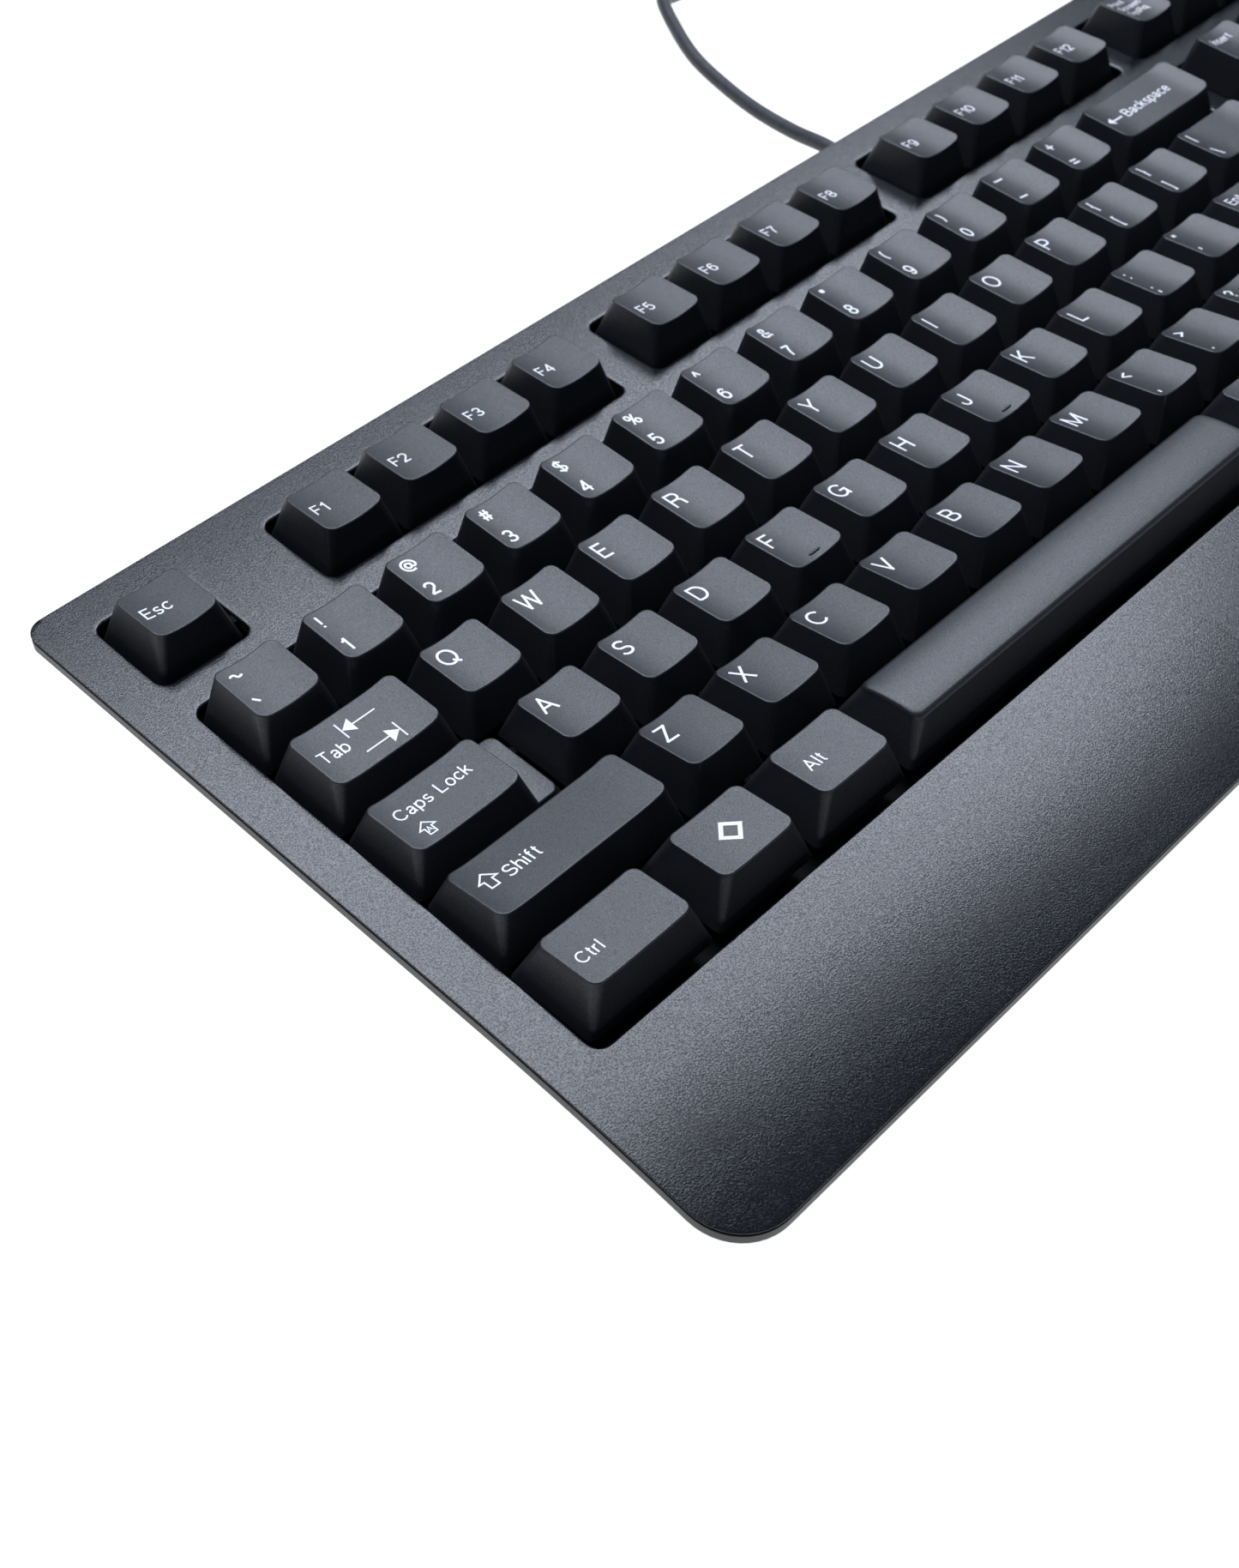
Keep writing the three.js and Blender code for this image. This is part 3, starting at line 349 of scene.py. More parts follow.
MATERIALS = {
    "deck": moulded_plastic(
        "deck_grained", (0.0056, 0.0061, 0.0084), (0.0070, 0.0076, 0.0101), 0.28, 0.030, 0.09,
        level=0.47, glint=0.18),
    "band": moulded_plastic(
        "band_smooth", (0.030, 0.031, 0.033), (0.036, 0.037, 0.039), 0.4, 0.004, 0.42,
        level=0.3),
    "shell": moulded_plastic(
        "shell_matt", (0.0120, 0.0125, 0.0140), (0.0160, 0.0165, 0.0180), 0.7, 0.06, 0.55),
    "housing": moulded_plastic(
        "housing_nylon", (0.008, 0.008, 0.009), (0.012, 0.012, 0.013), 0.5, 0.01, 0.38),
    "chip": moulded_plastic(
        "chip_epoxy", (0.010, 0.010, 0.011), (0.016, 0.016, 0.017), 0.3, 0.01, 0.45),
    "tongue": moulded_plastic(
        "tongue_plastic", (0.55, 0.56, 0.58), (0.62, 0.63, 0.65), 0.3, 0.005, 0.4),
    "keycap": keycap_plastic(),
    "ink": legend_ink(),
    "rubber": rubber("foot_rubber", (0.010, 0.010, 0.010), (0.020, 0.020, 0.021), 0.8),
    "cable": rubber("cable_jacket", (0.030, 0.032, 0.036), (0.045, 0.047, 0.052), 0.48),
    # Near-black plate colour: partly the plate's own finish, partly painted shade that keeps the gaps
    # between the caps dark.
    "plate": moulded_plastic(
        "plate_powder_coat_and_gap_shade", (0.008, 0.008, 0.009), (0.012, 0.012, 0.013), 0.35, 0.02, 0.6, level=0.3),
    "plug": brushed_metal("plug_nickel", (0.55, 0.55, 0.56), (0.68, 0.68, 0.69), 0.22, (0.08, 1, 1)),
    "contact": brushed_metal("contact_gold", (0.75, 0.52, 0.20), (0.85, 0.62, 0.28), 0.25, (0.1, 1, 1)),
    "board": board_laminate(),
    "lens": clear_lens(),
}


# ---- mesh helpers ----
def make_piece(name, mesh_data, material, slot=None, body="keyboard", place=DECK_TO_DESK,
               weighted=True, stands_for=None):
    """One closed mesh of (vertices, faces) in millimetres, carried to the desk frame, that rides on
    its body. slot is not used; stands_for is the CAD node it replaces."""
    vertices, faces = mesh_data
    mesh = bpy.data.meshes.new(name)
    mesh.from_pydata([tuple(v) for v in vertices], [], faces)
    mesh.transform(place)
    mesh.update()
    work = bmesh.new()
    work.from_mesh(mesh)
    bmesh.ops.remove_doubles(work, verts=work.verts, dist=1e-7)
    bmesh.ops.recalc_face_normals(work, faces=work.faces)
    work.to_mesh(mesh)
    work.free()
    piece = bpy.data.objects.new(name, mesh)
    bpy.context.scene.collection.objects.link(piece)
    mesh.materials.append(MATERIALS[material])
    mesh.shade_smooth()
    if weighted:
        weigh_normals(piece)
    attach(piece, body)
    if stands_for:
        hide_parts(stands_for)
    return piece


def weigh_normals(piece):
    modifier = piece.modifiers.new("normals", "WEIGHTED_NORMAL")
    modifier.keep_sharp = True


def apply_boolean(piece, tool, operation):
    """Cuts tool out of piece, or joins it on, and removes the tool."""
    modifier = piece.modifiers.new("boolean", "BOOLEAN")
    modifier.operation = operation
    modifier.solver = "EXACT"
    modifier.object = tool
    graph = bpy.context.evaluated_depsgraph_get()
    result = bpy.data.meshes.new_from_object(piece.evaluated_get(graph))
    piece.modifiers.clear()
    piece.data = result
    bpy.data.objects.remove(tool)


def stitch(rings, close_ends=True, loop=False):
    """Faces between successive rings of equal length; the rings' points are numbered in order."""
    count = len(rings[0])
    faces = []
    pairs = [(i, i + 1) for i in range(len(rings) - 1)]
    if loop:
        pairs.append((len(rings) - 1, 0))
    for a, b in pairs:
        for k in range(count):
            n = (k + 1) % count
            faces.append((a * count + k, a * count + n, b * count + n, b * count + k))
    if close_ends and not loop:
        faces.append(tuple(reversed(range(count))))
        last = (len(rings) - 1) * count
        faces.append(tuple(range(last, last + count)))
    return faces


def flat_points(rings):
    return [point for ring in rings for point in ring]


def skin(rings, loop=False):
    """Vertices and faces of the surface through the rings."""
    return flat_points(rings), stitch(rings, loop=loop)


def circle(count):
    """(cosine, sine) pairs round a full turn."""
    angles = (2 * math.pi * k / count for k in range(count))
    return [(math.cos(a), math.sin(a)) for a in angles]


def spaced(low, high, parts, crowd_ends):
    """Points between low and high, ends left out, optionally crowded towards the ends."""
    values = []
    for i in range(1, parts):
        share = (1 - math.cos(math.pi * i / parts)) / 2 if crowd_ends else i / parts
        values.append(low + (high - low) * share)
    return values


def rounded_outline(bounds, radii, corner_steps, parts_x, parts_y, crowd_ends=False):
    """(x, y) points counterclockwise round a rounded rectangle; radii are (front, rear)."""
    left, right, front, rear = bounds
    front_radius, rear_radius = radii
    low_x, high_x = left + front_radius, right - front_radius
    low_y, high_y = front + front_radius, rear - rear_radius
    points = []

    def corner(x, y, radius, quarter):
        for i in range(corner_steps + 1):
            angle = math.pi / 2 * (quarter + i / corner_steps)
            points.append((x + radius * math.cos(angle), y + radius * math.sin(angle)))

    corner(low_x, low_y, front_radius, 2)
    points.extend((x, front) for x in spaced(low_x, high_x, parts_x, crowd_ends))
    corner(high_x, low_y, front_radius, 3)
    points.extend((right, y) for y in spaced(low_y, high_y, parts_y, False))
    corner(right - rear_radius, high_y, rear_radius, 0)
    points.extend((x, rear) for x in spaced(right - rear_radius, left + rear_radius, parts_x, crowd_ends))
    corner(left + rear_radius, high_y, rear_radius, 1)
    points.extend((left, y) for y in spaced(high_y, low_y, parts_y, False))
    return points


def rounded_edge(radius, steps=4):
    """(inset, depth) pairs of a quarter-round edge, from the top face to the side."""
    quarter = [math.pi / 2 * i / steps for i in range(steps + 1)]
    return [(radius * (1 - math.sin(a)), radius * (1 - math.cos(a))) for a in quarter]


# ---- keycaps ----
CAPS_RAISED_UNITS = 1.5
CAPS_SHELF = dict(rim=-0.7, slope=0, shift=0, dish=0, half_y=8.45, post=False)
CAPS_SHELF_INSET = 1
CAPS_SHELF_SETBACK = 0.3
CAPS_SHELF_START = 23  # the low shelf starts this far in from the left, inside the raised part
CAP_CORNER = 1.9
CAP_EDGE = 0.34
SPACEBAR_EDGE = 0.9
SKIRT_CORNER = 1.1
CAP_WALL = 1.4
CAP_ROOF = 1.5
INNER_CORNER = 0.6
POST_HALF = 2.7
POST_CORNER = 0.5
POST_BOTTOM = -5.5
TOP_RINGS = (0.3, 0.55, 0.7, 0.8, 0.88, 0.94, 0.98)  # shares of the way out to the top's edge
SKIRT_RINGS = (0.06, 0.35, 0.7, 0.97, 1)  # shares of the way down the skirt


def cap_shape(key):
    """The numbers that shape one cap: its row, half sizes, dish and crown."""
    row = ROWS[key["row"]]
    spacebar = key["name"] == "space"
    dish = BOTTOM_DISH if key["row"] == "bottom" else LETTER_DISH
    return dict(
        rim=row["rim"], slope=math.tan(math.radians(row["slope"])), shift=row["shift"],
        half_x=(key["width"] - row["inset"]) / 2,
        half_y=(key["depth"] - UNIT + row["depth"]) / 2,
        dish=0 if spacebar else dish,
        crown=SPACEBAR_CROWN if spacebar else 0,
        edge=SPACEBAR_EDGE if spacebar else CAP_EDGE,
        corner=CAP_CORNER, x=key["x"], y=key["y"], width=key["width"], depth=key["depth"], post=True,
    )


def stepped_shapes(key):
    """Caps lock: the raised part, and the low shelf that sticks out to its right."""
    width = CAPS_RAISED_UNITS * UNIT
    raised_key = dict(key, width=width, x=key["x"] - (key["width"] - width) / 2)
    shelf_key = dict(key, width=key["width"] - CAPS_SHELF_START, x=key["x"] + CAPS_SHELF_START / 2)
    shelf = cap_shape(shelf_key)
    shelf.update(CAPS_SHELF, half_x=shelf["width"] / 2 - CAPS_SHELF_INSET,
                 depth=key["depth"] - CAPS_SHELF_SETBACK)
    return cap_shape(raised_key), shelf


def top_height(shape, x, y):
    """Height of the cap's top at (x, y) from the middle of its top face."""
    inward = min(max(shape["half_x"] - abs(x), 0) / DISH_REACH, 1)
    dished = shape["dish"] * (1 - (1 - inward) ** 2)
    crowned = shape["crown"] * (abs(y) / shape["half_y"]) ** 2.5
    return shape["rim"] + y * shape["slope"] - dished - crowned


def ring_points(half_x, half_y, corner):
    return rounded_outline((-half_x, half_x, -half_y, half_y), (corner, corner), 5, 12, 8, crowd_ends=True)


def cap_rings(shape):
    """Rings from the middle of the top, over the edge, down the skirt and up inside to the post."""
    edge = shape["edge"]
    half_x, half_y = shape["half_x"], shape["half_y"]
    rings = []

    def top_ring(points, drop):
        rings.append([(x, y + shape["shift"], top_height(shape, x, y) - drop) for x, y in points])

    inner = ring_points(half_x - edge, half_y - edge, shape["corner"] - edge)
    for share in TOP_RINGS:
        top_ring([(x * share, y * share) for x, y in inner], 0)
    for inset, depth in rounded_edge(edge):
        top_ring(ring_points(half_x - inset, half_y - inset, shape["corner"] - inset), depth)
    brow = rings[-1]
    foot_x = (shape["width"] - KEY_GAP) / 2
    foot_y = (shape["depth"] - KEY_GAP) / 2
    foot = [(x, y, SKIRT_BOTTOM) for x, y in ring_points(foot_x, foot_y, SKIRT_CORNER)]
    for share in SKIRT_RINGS:
        rings.append([tuple(Vector(a).lerp(Vector(b), share)) for a, b in zip(brow, foot)])

    ceiling = shape["rim"] - shape["dish"] - CAP_ROOF
    share = (ceiling - SKIRT_BOTTOM) / (shape["rim"] - SKIRT_BOTTOM)
    in_x, in_y = foot_x - CAP_WALL, foot_y - CAP_WALL
    high_x = in_x - share * (foot_x - half_x)
    high_y = in_y - share * (foot_y - half_y)
    rings.append([(x, y, SKIRT_BOTTOM) for x, y in ring_points(in_x, in_y, INNER_CORNER)])
    rings.append([(x, y + shape["shift"] * share, ceiling + y * shape["slope"])
                  for x, y in ring_points(high_x, high_y, INNER_CORNER)])
    if shape["post"]:
        post = ring_points(POST_HALF, POST_HALF, POST_CORNER)
        rings.extend([(x, y, z) for x, y in post] for z in (ceiling, POST_BOTTOM))
    return [[(x + shape["x"], y + shape["y"], z) for x, y, z in ring] for ring in rings]


def cap_mesh(shape):
    """Vertices and faces of one cap, its first and last rings closed by fans of triangles."""
    rings = cap_rings(shape)
    vertices = flat_points(rings)
    faces = stitch(rings, close_ends=False)
    count = len(rings[0])
    for start, turn in ((0, 1), ((len(rings) - 1) * count, -1)):
        ring = vertices[start:start + count]
        middle = sum((Vector(p) for p in ring), Vector()) / count
        if start == 0:
            middle.z = top_height(shape, 0, 0)
        vertices.append(tuple(middle))
        hub = len(vertices) - 1
        faces.extend((start + k, start + (k + 1) % count, hub)[::turn] for k in range(count))
    return vertices, faces


def join_shelf(cap, shape):
    """Unites the stepped cap's raised part with its low shelf."""
    shelf = make_piece("shelf_tool", cap_mesh(shape), "keycap", body="key_caps_lock", weighted=False)
    apply_boolean(cap, shelf, "UNION")
    weigh_normals(cap)


def homing_bar(key, shape):
    """The short raised bar near the front edge of the F and J caps."""
    half, radius, from_front, steps = 1.5, 0.32, 1.75, 8
    y = -shape["half_y"] + from_front
    rings = []
    for i in range(steps + 1):
        along = 2 * i / steps - 1
        x = along * half
        size = radius * math.sqrt(max(1 - along ** 6, 0.06))
        z = top_height(shape, x, y)
        rings.append([(key["x"] + x, key["y"] + shape["shift"] + y + size * c, z + size * s)
                      for c, s in circle(10)])
    make_piece(f"homing_bar_{key['name']}", skin(rings), "keycap", body=body_of_key(key["name"]),
               weighted=False)


def build_cap(key):
    name = key["name"]
    shape = cap_shape(key)
    if name == "caps_lock":
        shape, shelf = stepped_shapes(key)
    cap = make_piece(f"keycap_{name}", cap_mesh(shape), "keycap", body=body_of_key(name), weighted=False)
    if name == "caps_lock":
        join_shelf(cap, shelf)
    if name in ("f", "j"):
        homing_bar(key, shape)
    return cap, shape


# ---- legends ----
INK_PROUD = 0.025
INK_SUNK = 0.12
INK_STRIP = 0.7  # a legend is cut into strips this wide so that it follows the dish
LETTER_GAP = 2.1
SHARP_TURN = 0.75  # cosine below which a stroke is broken at a corner

# The lettering: a plain sans-serif drawn as strokes on a grid where a capital is 10 tall. Each
# glyph is its width and its strokes; a stroke is a row of points, and "@x,y,rx,ry,a,b" is an arc
# about (x, y) from angle a to angle b.
GLYPH_STROKES = {
    "A": (7.4, "0,0 3.7,9.6 7.4,0; 1.3,3.4 6.1,3.4"),
    "B": (6, "0,0.5 0,9.5 3.3,9.5 @3.3,7.35,2.2,2.15,90,-90 0,5.2; 3.3,5.2 @3.4,2.85,2.6,2.35,90,-90 0,0.5"),
    "C": (7.4, "@3.9,5,3.9,4.5,38,322"),
    "D": (6.8, "0,0.5 0,9.5 2.8,9.5 @2.8,5,3.9,4.5,90,-90 0,0.5"),
    "E": (5.4, "5.4,9.5 0,9.5 0,0.5 5.6,0.5; 0,5.2 5,5.2"),
    "F": (5.1, "5.2,9.5 0,9.5 0,0; 0,5 4.6,5"),
    "G": (7.6, "@3.9,5,3.9,4.5,38,325; 4.3,4.8 7.4,4.8 7.4,0"),
    "H": (6.6, "0,0 0,10; 6.6,0 6.6,10; 0,5.2 6.6,5.2"),
    "I": (0.6, "0.3,0 0.3,10"),
    "J": (4.8, "4.8,10 4.8,3 @2.4,3,2.4,2.5,0,-180 0,3.6"),
    "K": (6.4, "0,0 0,10; 6.1,10 0,3.8; 2.4,6.1 6.5,0"),
    "L": (5.1, "0,10 0,0.5 5.2,0.5"),
    "M": (8, "0,0 0,9.4 4,0.8 8,9.4 8,0"),
    "N": (6.6, "0,0 0,9.2 6.6,0.8 6.6,10"),
    "O": (7.9, "@3.95,5,3.95,4.5,90,450"),
    "P": (6, "0,0 0,9.5 3.5,9.5 @3.5,7,2.5,2.5,90,-90 0,4.5"),
    "Q": (7.9, "@3.95,5,3.95,4.5,90,450; 4.9,2.6 7.6,-0.3"),
    "R": (6.3, "0,0 0,9.5 3.5,9.5 @3.5,7.2,2.4,2.3,90,-90 0,4.9; 3.5,4.9 @3.7,3,2.2,1.9,90,0 6.3,0"),
    "S": (6.2, "@3.1,7.2,2.7,2.3,20,270 @3.1,2.7,3,2.2,90,-160"),
    "T": (6.8, "0,9.5 6.8,9.5; 3.4,9.5 3.4,0"),
    "U": (6.4, "0,10 0,3.6 @3.2,3.6,3.2,3.1,180,360 6.4,10"),
    "V": (7, "0,10 3.5,0.5 7,10"),
    "W": (10.2, "0,10 2.5,0.6 5.1,9.3 7.7,0.6 10.2,10"),
    "X": (6.8, "0.1,10 6.8,0; 6.7,10 0,0"),
    "Y": (7, "0,10 3.5,4.6 7,10; 3.5,4.8 3.5,0"),
    "Z": (6.4, "0.2,9.5 6.2,9.5 0.1,0.5 6.5,0.5"),
    "0": (5.4, "@2.7,5,2.7,4.5,90,450"),
    "1": (2.8, "0.2,7.4 1.6,7.9 2.6,9.6; 2.6,10 2.6,0"),
    "2": (5.5, "@2.8,6.9,2.6,2.6,175,-40 0.3,0.5; 0.1,0.5 5.5,0.5"),
    "3": (5.3, "@2.6,7.2,2.3,2.3,160,-90 @2.6,2.7,2.7,2.2,90,-160"),
    "4": (5.6, "4.2,0 4.2,9.3 0.1,2.9 5.7,2.9"),
    "5": (5.4, "5,9.5 1,9.5 0.5,5 @2.7,3.4,2.7,2.9,140,-155"),
    "6": (5.4, "@3,5,2.8,4.5,42,180 0.2,3.4; @2.8,3.4,2.6,2.9,90,450"),
    "7": (5.3, "0,9.5 5.2,9.5; 5.2,9.5 3.4,6.4 2.3,3.4 1.9,0"),
    "8": (5.4, "@2.7,7.3,2.2,2.2,90,450; @2.7,2.8,2.6,2.3,90,450"),
    "9": (5.4, "@2.4,5,2.8,4.5,222,360 5.2,6.6; @2.6,6.6,2.6,2.9,90,450"),
    "~": (6.8, "@1.7,6,1.7,1.5,170,10 @5.1,6.3,1.7,1.5,190,350"),
    "`": (3.2, "0,9 3,5.6"),
    "!": (1, "0.5,10 0.5,3; 0.5,1.4 0.5,0"),
    "@": (9.2, "@4.4,5,1.9,2.1,0,360; 6.4,7 6.3,4.2 @7.5,4.2,1.2,1.1,180,330; @4.6,5,4.6,4.6,-18,300"),
    "#": (6.4, "1.4,0 2.6,9.6; 4,0 5.2,9.6; 0,6.6 6.4,6.6; 0,3 6.2,3"),
    "$": (6.2, "@3.1,7.2,2.7,2.3,20,270 @3.1,2.7,3,2.2,90,-160; 3.1,11 3.1,-1"),
    "%": (8.4, "@1.7,7.4,1.7,2.1,90,450; @6.7,2.4,1.7,2.1,90,450; 1.8,0 6.6,9.8"),
    "^": (4.4, "0,5.2 2.2,9.6 4.4,5.2"),
    "&": (6.8, "6.7,0.2 1.5,6.6 @2.8,7.7,1.6,1.7,205,-35 @2.6,2.7,2.5,2.2,125,300 6,4.2"),
    "*": (3.8, "1.9,9.8 1.9,5.6; 0.1,8.8 3.7,6.6; 3.7,8.8 0.1,6.6"),
    "(": (2.4, "@4,4.2,3.8,6.2,125,235"),
    ")": (2.4, "@-1.6,4.2,3.8,6.2,55,-55"),
    "_": (9.4, "0,5 9.4,5"),
    "+": (7, "3.5,1 3.5,8; 0,4.5 7,4.5"),
    "-": (8, "0,3.8 8,3.8"),
    "=": (7, "0,6.2 7,6.2; 0,2.8 7,2.8"),
    "{": (2.4, "2.4,10.2 1.5,9.8 1.3,8.8 1.3,6 1,5 0.2,4.4 1,3.8 1.3,2.8 1.3,0 1.5,-1 2.4,-1.4"),
    "}": (2.4, "0,10.2 0.9,9.8 1.1,8.8 1.1,6 1.4,5 2.2,4.4 1.4,3.8 1.1,2.8 1.1,0 0.9,-1 0,-1.4"),
    "[": (1.9, "1.9,10 0.2,10 0.2,-1.4 1.9,-1.4"),
    "]": (1.9, "0,10 1.7,10 1.7,-1.4 0,-1.4"),
    "|": (1, "0.5,10 0.5,-1.6"),
    "\\": (3.6, "0,10 3.6,0"),
    "/": (3.6, "0,0 3.6,10"),
    ":": (1, "0.5,6.8 0.5,5.4; 0.5,1.4 0.5,0"),
    ";": (1, "0.5,6.8 0.5,5.4; 0.5,1.4 0.5,0 0,-1.5"),
    '"': (2.2, "0.2,10 0.2,7; 2,10 2,7"),
    "'": (1, "0.5,10 0.5,7"),
    "<": (5.4, "5.4,7.6 0,4.4 5.4,1.2"),
    ">": (5.4, "0,7.6 5.4,4.4 0,1.2"),
    ",": (1, "0.5,1.4 0.5,0 0,-1.5"),
    ".": (1, "0.5,1.4 0.5,0"),
    "?": (4.8, "@2.5,7.3,2.3,2.3,180,-45 2.6,4.4 2.5,2.9; 2.5,1.4 2.5,0"),
    "a": (4.9, "@2.3,5.1,1.9,1.75,165,0 4.2,1.1 4.9,0.4; 4.2,4 2.1,3.7 @2,2.1,1.8,1.65,95,280 4.2,2.4"),
    "b": (4.8, "0,0 0,10; @2.4,3.6,2.4,3.2,90,450"),
    "c": (4.6, "@2.5,3.6,2.5,3.2,40,320"),
    "d": (4.8, "4.8,0 4.8,10; @2.4,3.6,2.4,3.2,90,450"),
    "e": (5, "0.1,3.7 5,3.7; @2.55,3.6,2.5,3.2,0,322"),
    "f": (2.8, "0,6.8 2.8,6.8; 1.1,0 1.1,8.2 @2.5,8.2,1.4,1.4,180,80"),
    "g": (4.8, "4.8,7 4.8,-0.6 @2.4,-0.6,2.4,2,0,-150; @2.4,3.6,2.4,3.2,90,450"),
    "h": (4.4, "0,0 0,10; 0,4.2 @2.2,4.4,2.2,2.4,180,0 4.4,0"),
    "i": (0.6, "0.3,0 0.3,7; 0.3,10 0.3,8.6"),
    "k": (4.5, "0,0 0,10; 4.1,7 0,2.8; 1.6,4.4 4.5,0"),
    "l": (0.6, "0.3,0 0.3,10"),
    "m": (7.2, "0,0 0,7; 0,4.6 @1.8,4.7,1.8,2.1,180,0 3.6,0; 3.6,4.6 @5.4,4.7,1.8,2.1,180,0 7.2,0"),
    "n": (4.4, "0,0 0,7; 0,4.2 @2.2,4.4,2.2,2.4,180,0 4.4,0"),
    "o": (5, "@2.5,3.6,2.5,3.2,90,450"),
    "p": (4.8, "0,-2.6 0,7; @2.4,3.6,2.4,3.2,90,450"),
    "q": (4.8, "4.8,-2.6 4.8,7; @2.4,3.6,2.4,3.2,90,450"),
    "r": (2.7, "0,0 0,7; 0,4 @2.4,4.2,2.4,2.6,180,85"),
    "s": (4.2, "@2.1,5.2,1.8,1.6,25,265 @2.1,2,2.1,1.6,90,-160"),
    "t": (2.6, "1.1,9 1.1,1.8 @2.3,1.8,1.2,1.3,180,280; 0,6.8 2.6,6.8"),
    "u": (4.4, "0,7 0,2.8 @2.2,2.8,2.2,2.4,180,360 4.4,7; 4.4,2.8 4.4,0"),
    "w": (7.2, "0,7 1.8,0.6 3.6,6.6 5.4,0.6 7.2,7"),
    "y": (4.8, "0,7 2.4,0.5; 4.8,7 2.1,-1.6 0.5,-2.2"),
    " ": (2.8, ""),
}
LETTER_WEIGHT = 1.2
DIGIT_WEIGHT = 1.5
LINE_PITCH = 1.45  # of the capitals' height
ARC_STEP = 15  # degrees


def stroke_points(text):
    """The points of one stroke, its arcs drawn out."""
    points = []
    for token in text.split():
        numbers = [float(n) for n in token.lstrip("@").split(",")]
        if not token.startswith("@"):
            points.append(Vector(numbers))
            continue
        x, y, rx, ry, start, end = numbers
        steps = max(round(abs(end - start) / ARC_STEP), 2)
        for i in range(steps + 1):
            angle = math.radians(start + (end - start) * i / steps)
            point = Vector((x + rx * math.cos(angle), y + ry * math.sin(angle)))
            if not points or (point - points[-1]).length > 0.05:
                points.append(point)
    return points


def broken_at_corners(points):
    """Splits a stroke where it turns sharply; yields each run and whether its ends are corners."""
    runs = []
    start = 0
    for i in range(1, len(points) - 1):
        back = (points[i] - points[i - 1]).normalized()
        ahead = (points[i + 1] - points[i]).normalized()
        if back.dot(ahead) < SHARP_TURN:
            runs.append((points[start:i + 1], start > 0, True))
            start = i
    runs.append((points[start:], start > 0, False))
    return runs


def run_outline(points, width, extend_start, extend_end):
    """The outline of a smooth stroke of this width; an end at a corner is squared past it."""
    points = list(points)
    if extend_start:
        points[0] = points[0] - (points[1] - points[0]).normalized() * width / 2
    if extend_end:
        points[-1] = points[-1] + (points[-1] - points[-2]).normalized() * width / 2
    left, right = [], []
    last = len(points) - 1
    for i, point in enumerate(points):
        back = (point - points[i - 1]).normalized() if i > 0 else None
        ahead = (points[i + 1] - point).normalized() if i < last else None
        along = ((back or ahead) + (ahead or back)).normalized()
        side = Vector((-along.y, along.x)) * width / 2
        left.append(point + side)
        right.append(point - side)
    return left + right[::-1]


def add_text(ink, text, x, baseline, cap_height, weight=LETTER_WEIGHT):
    """Adds lettering that starts at x, its first line on the baseline."""
    scale = cap_height / 10
    at = x
    for letter in text:
        if letter == "\n":
            at = x
            baseline -= cap_height * LINE_PITCH
            continue
        width, strokes = GLYPH_STROKES[letter]
        for stroke in filter(None, strokes.split(";")):
            for run, corner_start, corner_end in broken_at_corners(stroke_points(stroke)):
                outline = run_outline(run, weight, corner_start, corner_end)
                ink.append([(at + p.x * scale, baseline + p.y * scale) for p in outline])
        at += (width + LETTER_GAP) * scale


def add_stroke(ink, start, end, width):
    """A straight line of ink."""
    a, b = Vector(start), Vector(end)
    side = (b - a).normalized().orthogonal() * width / 2
    ink.append([a + side, a - side, b - side, b + side])


def add_frame(ink, points, width):
    """A closed outline of ink, mitred at its corners; points run counterclockwise."""
    count = len(points)
    inner = []
    for i, point in enumerate(points):
        here = Vector(point)
        back = (here - Vector(points[i - 1])).normalized()
        ahead = (Vector(points[(i + 1) % count]) - here).normalized()
        normal = Vector((-back.y, back.x)) + Vector((-ahead.y, ahead.x))
        normal.normalize()
        share = width / max(normal.dot(Vector((-ahead.y, ahead.x))), 0.3)
        inner.append(here + normal * share)
    for i in range(count):
        n = (i + 1) % count
        ink.append([points[i], points[n], inner[n], inner[i]])


LINE = 0.3


def add_arrow(ink, tip, tail, head=1.9, half=1.0, line=LINE):
    """A solid-headed arrow from tail to tip."""
    a, b = Vector(tip), Vector(tail)
    along = (b - a).normalized()
    side = along.orthogonal() * half
    ink.append([a, a + along * head + side, a + along * head - side])
    add_stroke(ink, a + along * head, b, line)


def house_points(x, y, size):
    """The outline of a broad upward arrow, size tall, standing on (x, y)."""
    half, stem = size * 0.55, size * 0.24
    shoulder = size * 0.45
    return [(x - stem, y), (x + stem, y), (x + stem, y + shoulder), (x + half, y + shoulder),
            (x, y + size), (x - half, y + shoulder), (x - stem, y + shoulder)]


def tab_glyph(ink, shape):
    """Two arrows, one above the other, each running up against a bar."""
    near, far = 8.6 - shape["half_x"], 15.8 - shape["half_x"]
    upper, lower = shape["half_y"] - 4.2, shape["half_y"] - 10.6
    for bar, tail, y in ((near, far, upper), (far, near, lower)):
        add_stroke(ink, (bar, y - 2), (bar, y + 2), LINE)
        tip = bar + math.copysign(LINE / 2, tail - bar)
        add_arrow(ink, (tip, y), (tail, y), head=2.2, half=1.65)


def caps_glyph(ink, shape):
    x = -shape["half_x"] + 5.1
    y = shape["half_y"] - 11.85
    add_frame(ink, house_points(x, y, 3.5), 0.26)
    add_text(ink, "A", x - 0.5, y + 0.6, 1.3)


def shift_glyph(ink, shape):
    add_frame(ink, house_points(-shape["half_x"] + 4.5, shape["half_y"] - 7.7, 4.1), 0.32)


def system_glyph(ink, _shape):
    """A plain diamond with a diamond-shaped hole, in place of any maker's sign."""
    reach = 2.7
    add_frame(ink, [(0, -reach), (reach, 0), (0, reach), (-reach, 0)], 0.75)


def menu_glyph(ink, _shape):
    """A framed list of three lines."""
    add_frame(ink, [(-1.9, -2.2), (1.9, -2.2), (1.9, 2.2), (-1.9, 2.2)], LINE)
    for y in (-1.05, 0, 1.05):
        add_stroke(ink, (-1.1, y), (1.1, y), LINE)


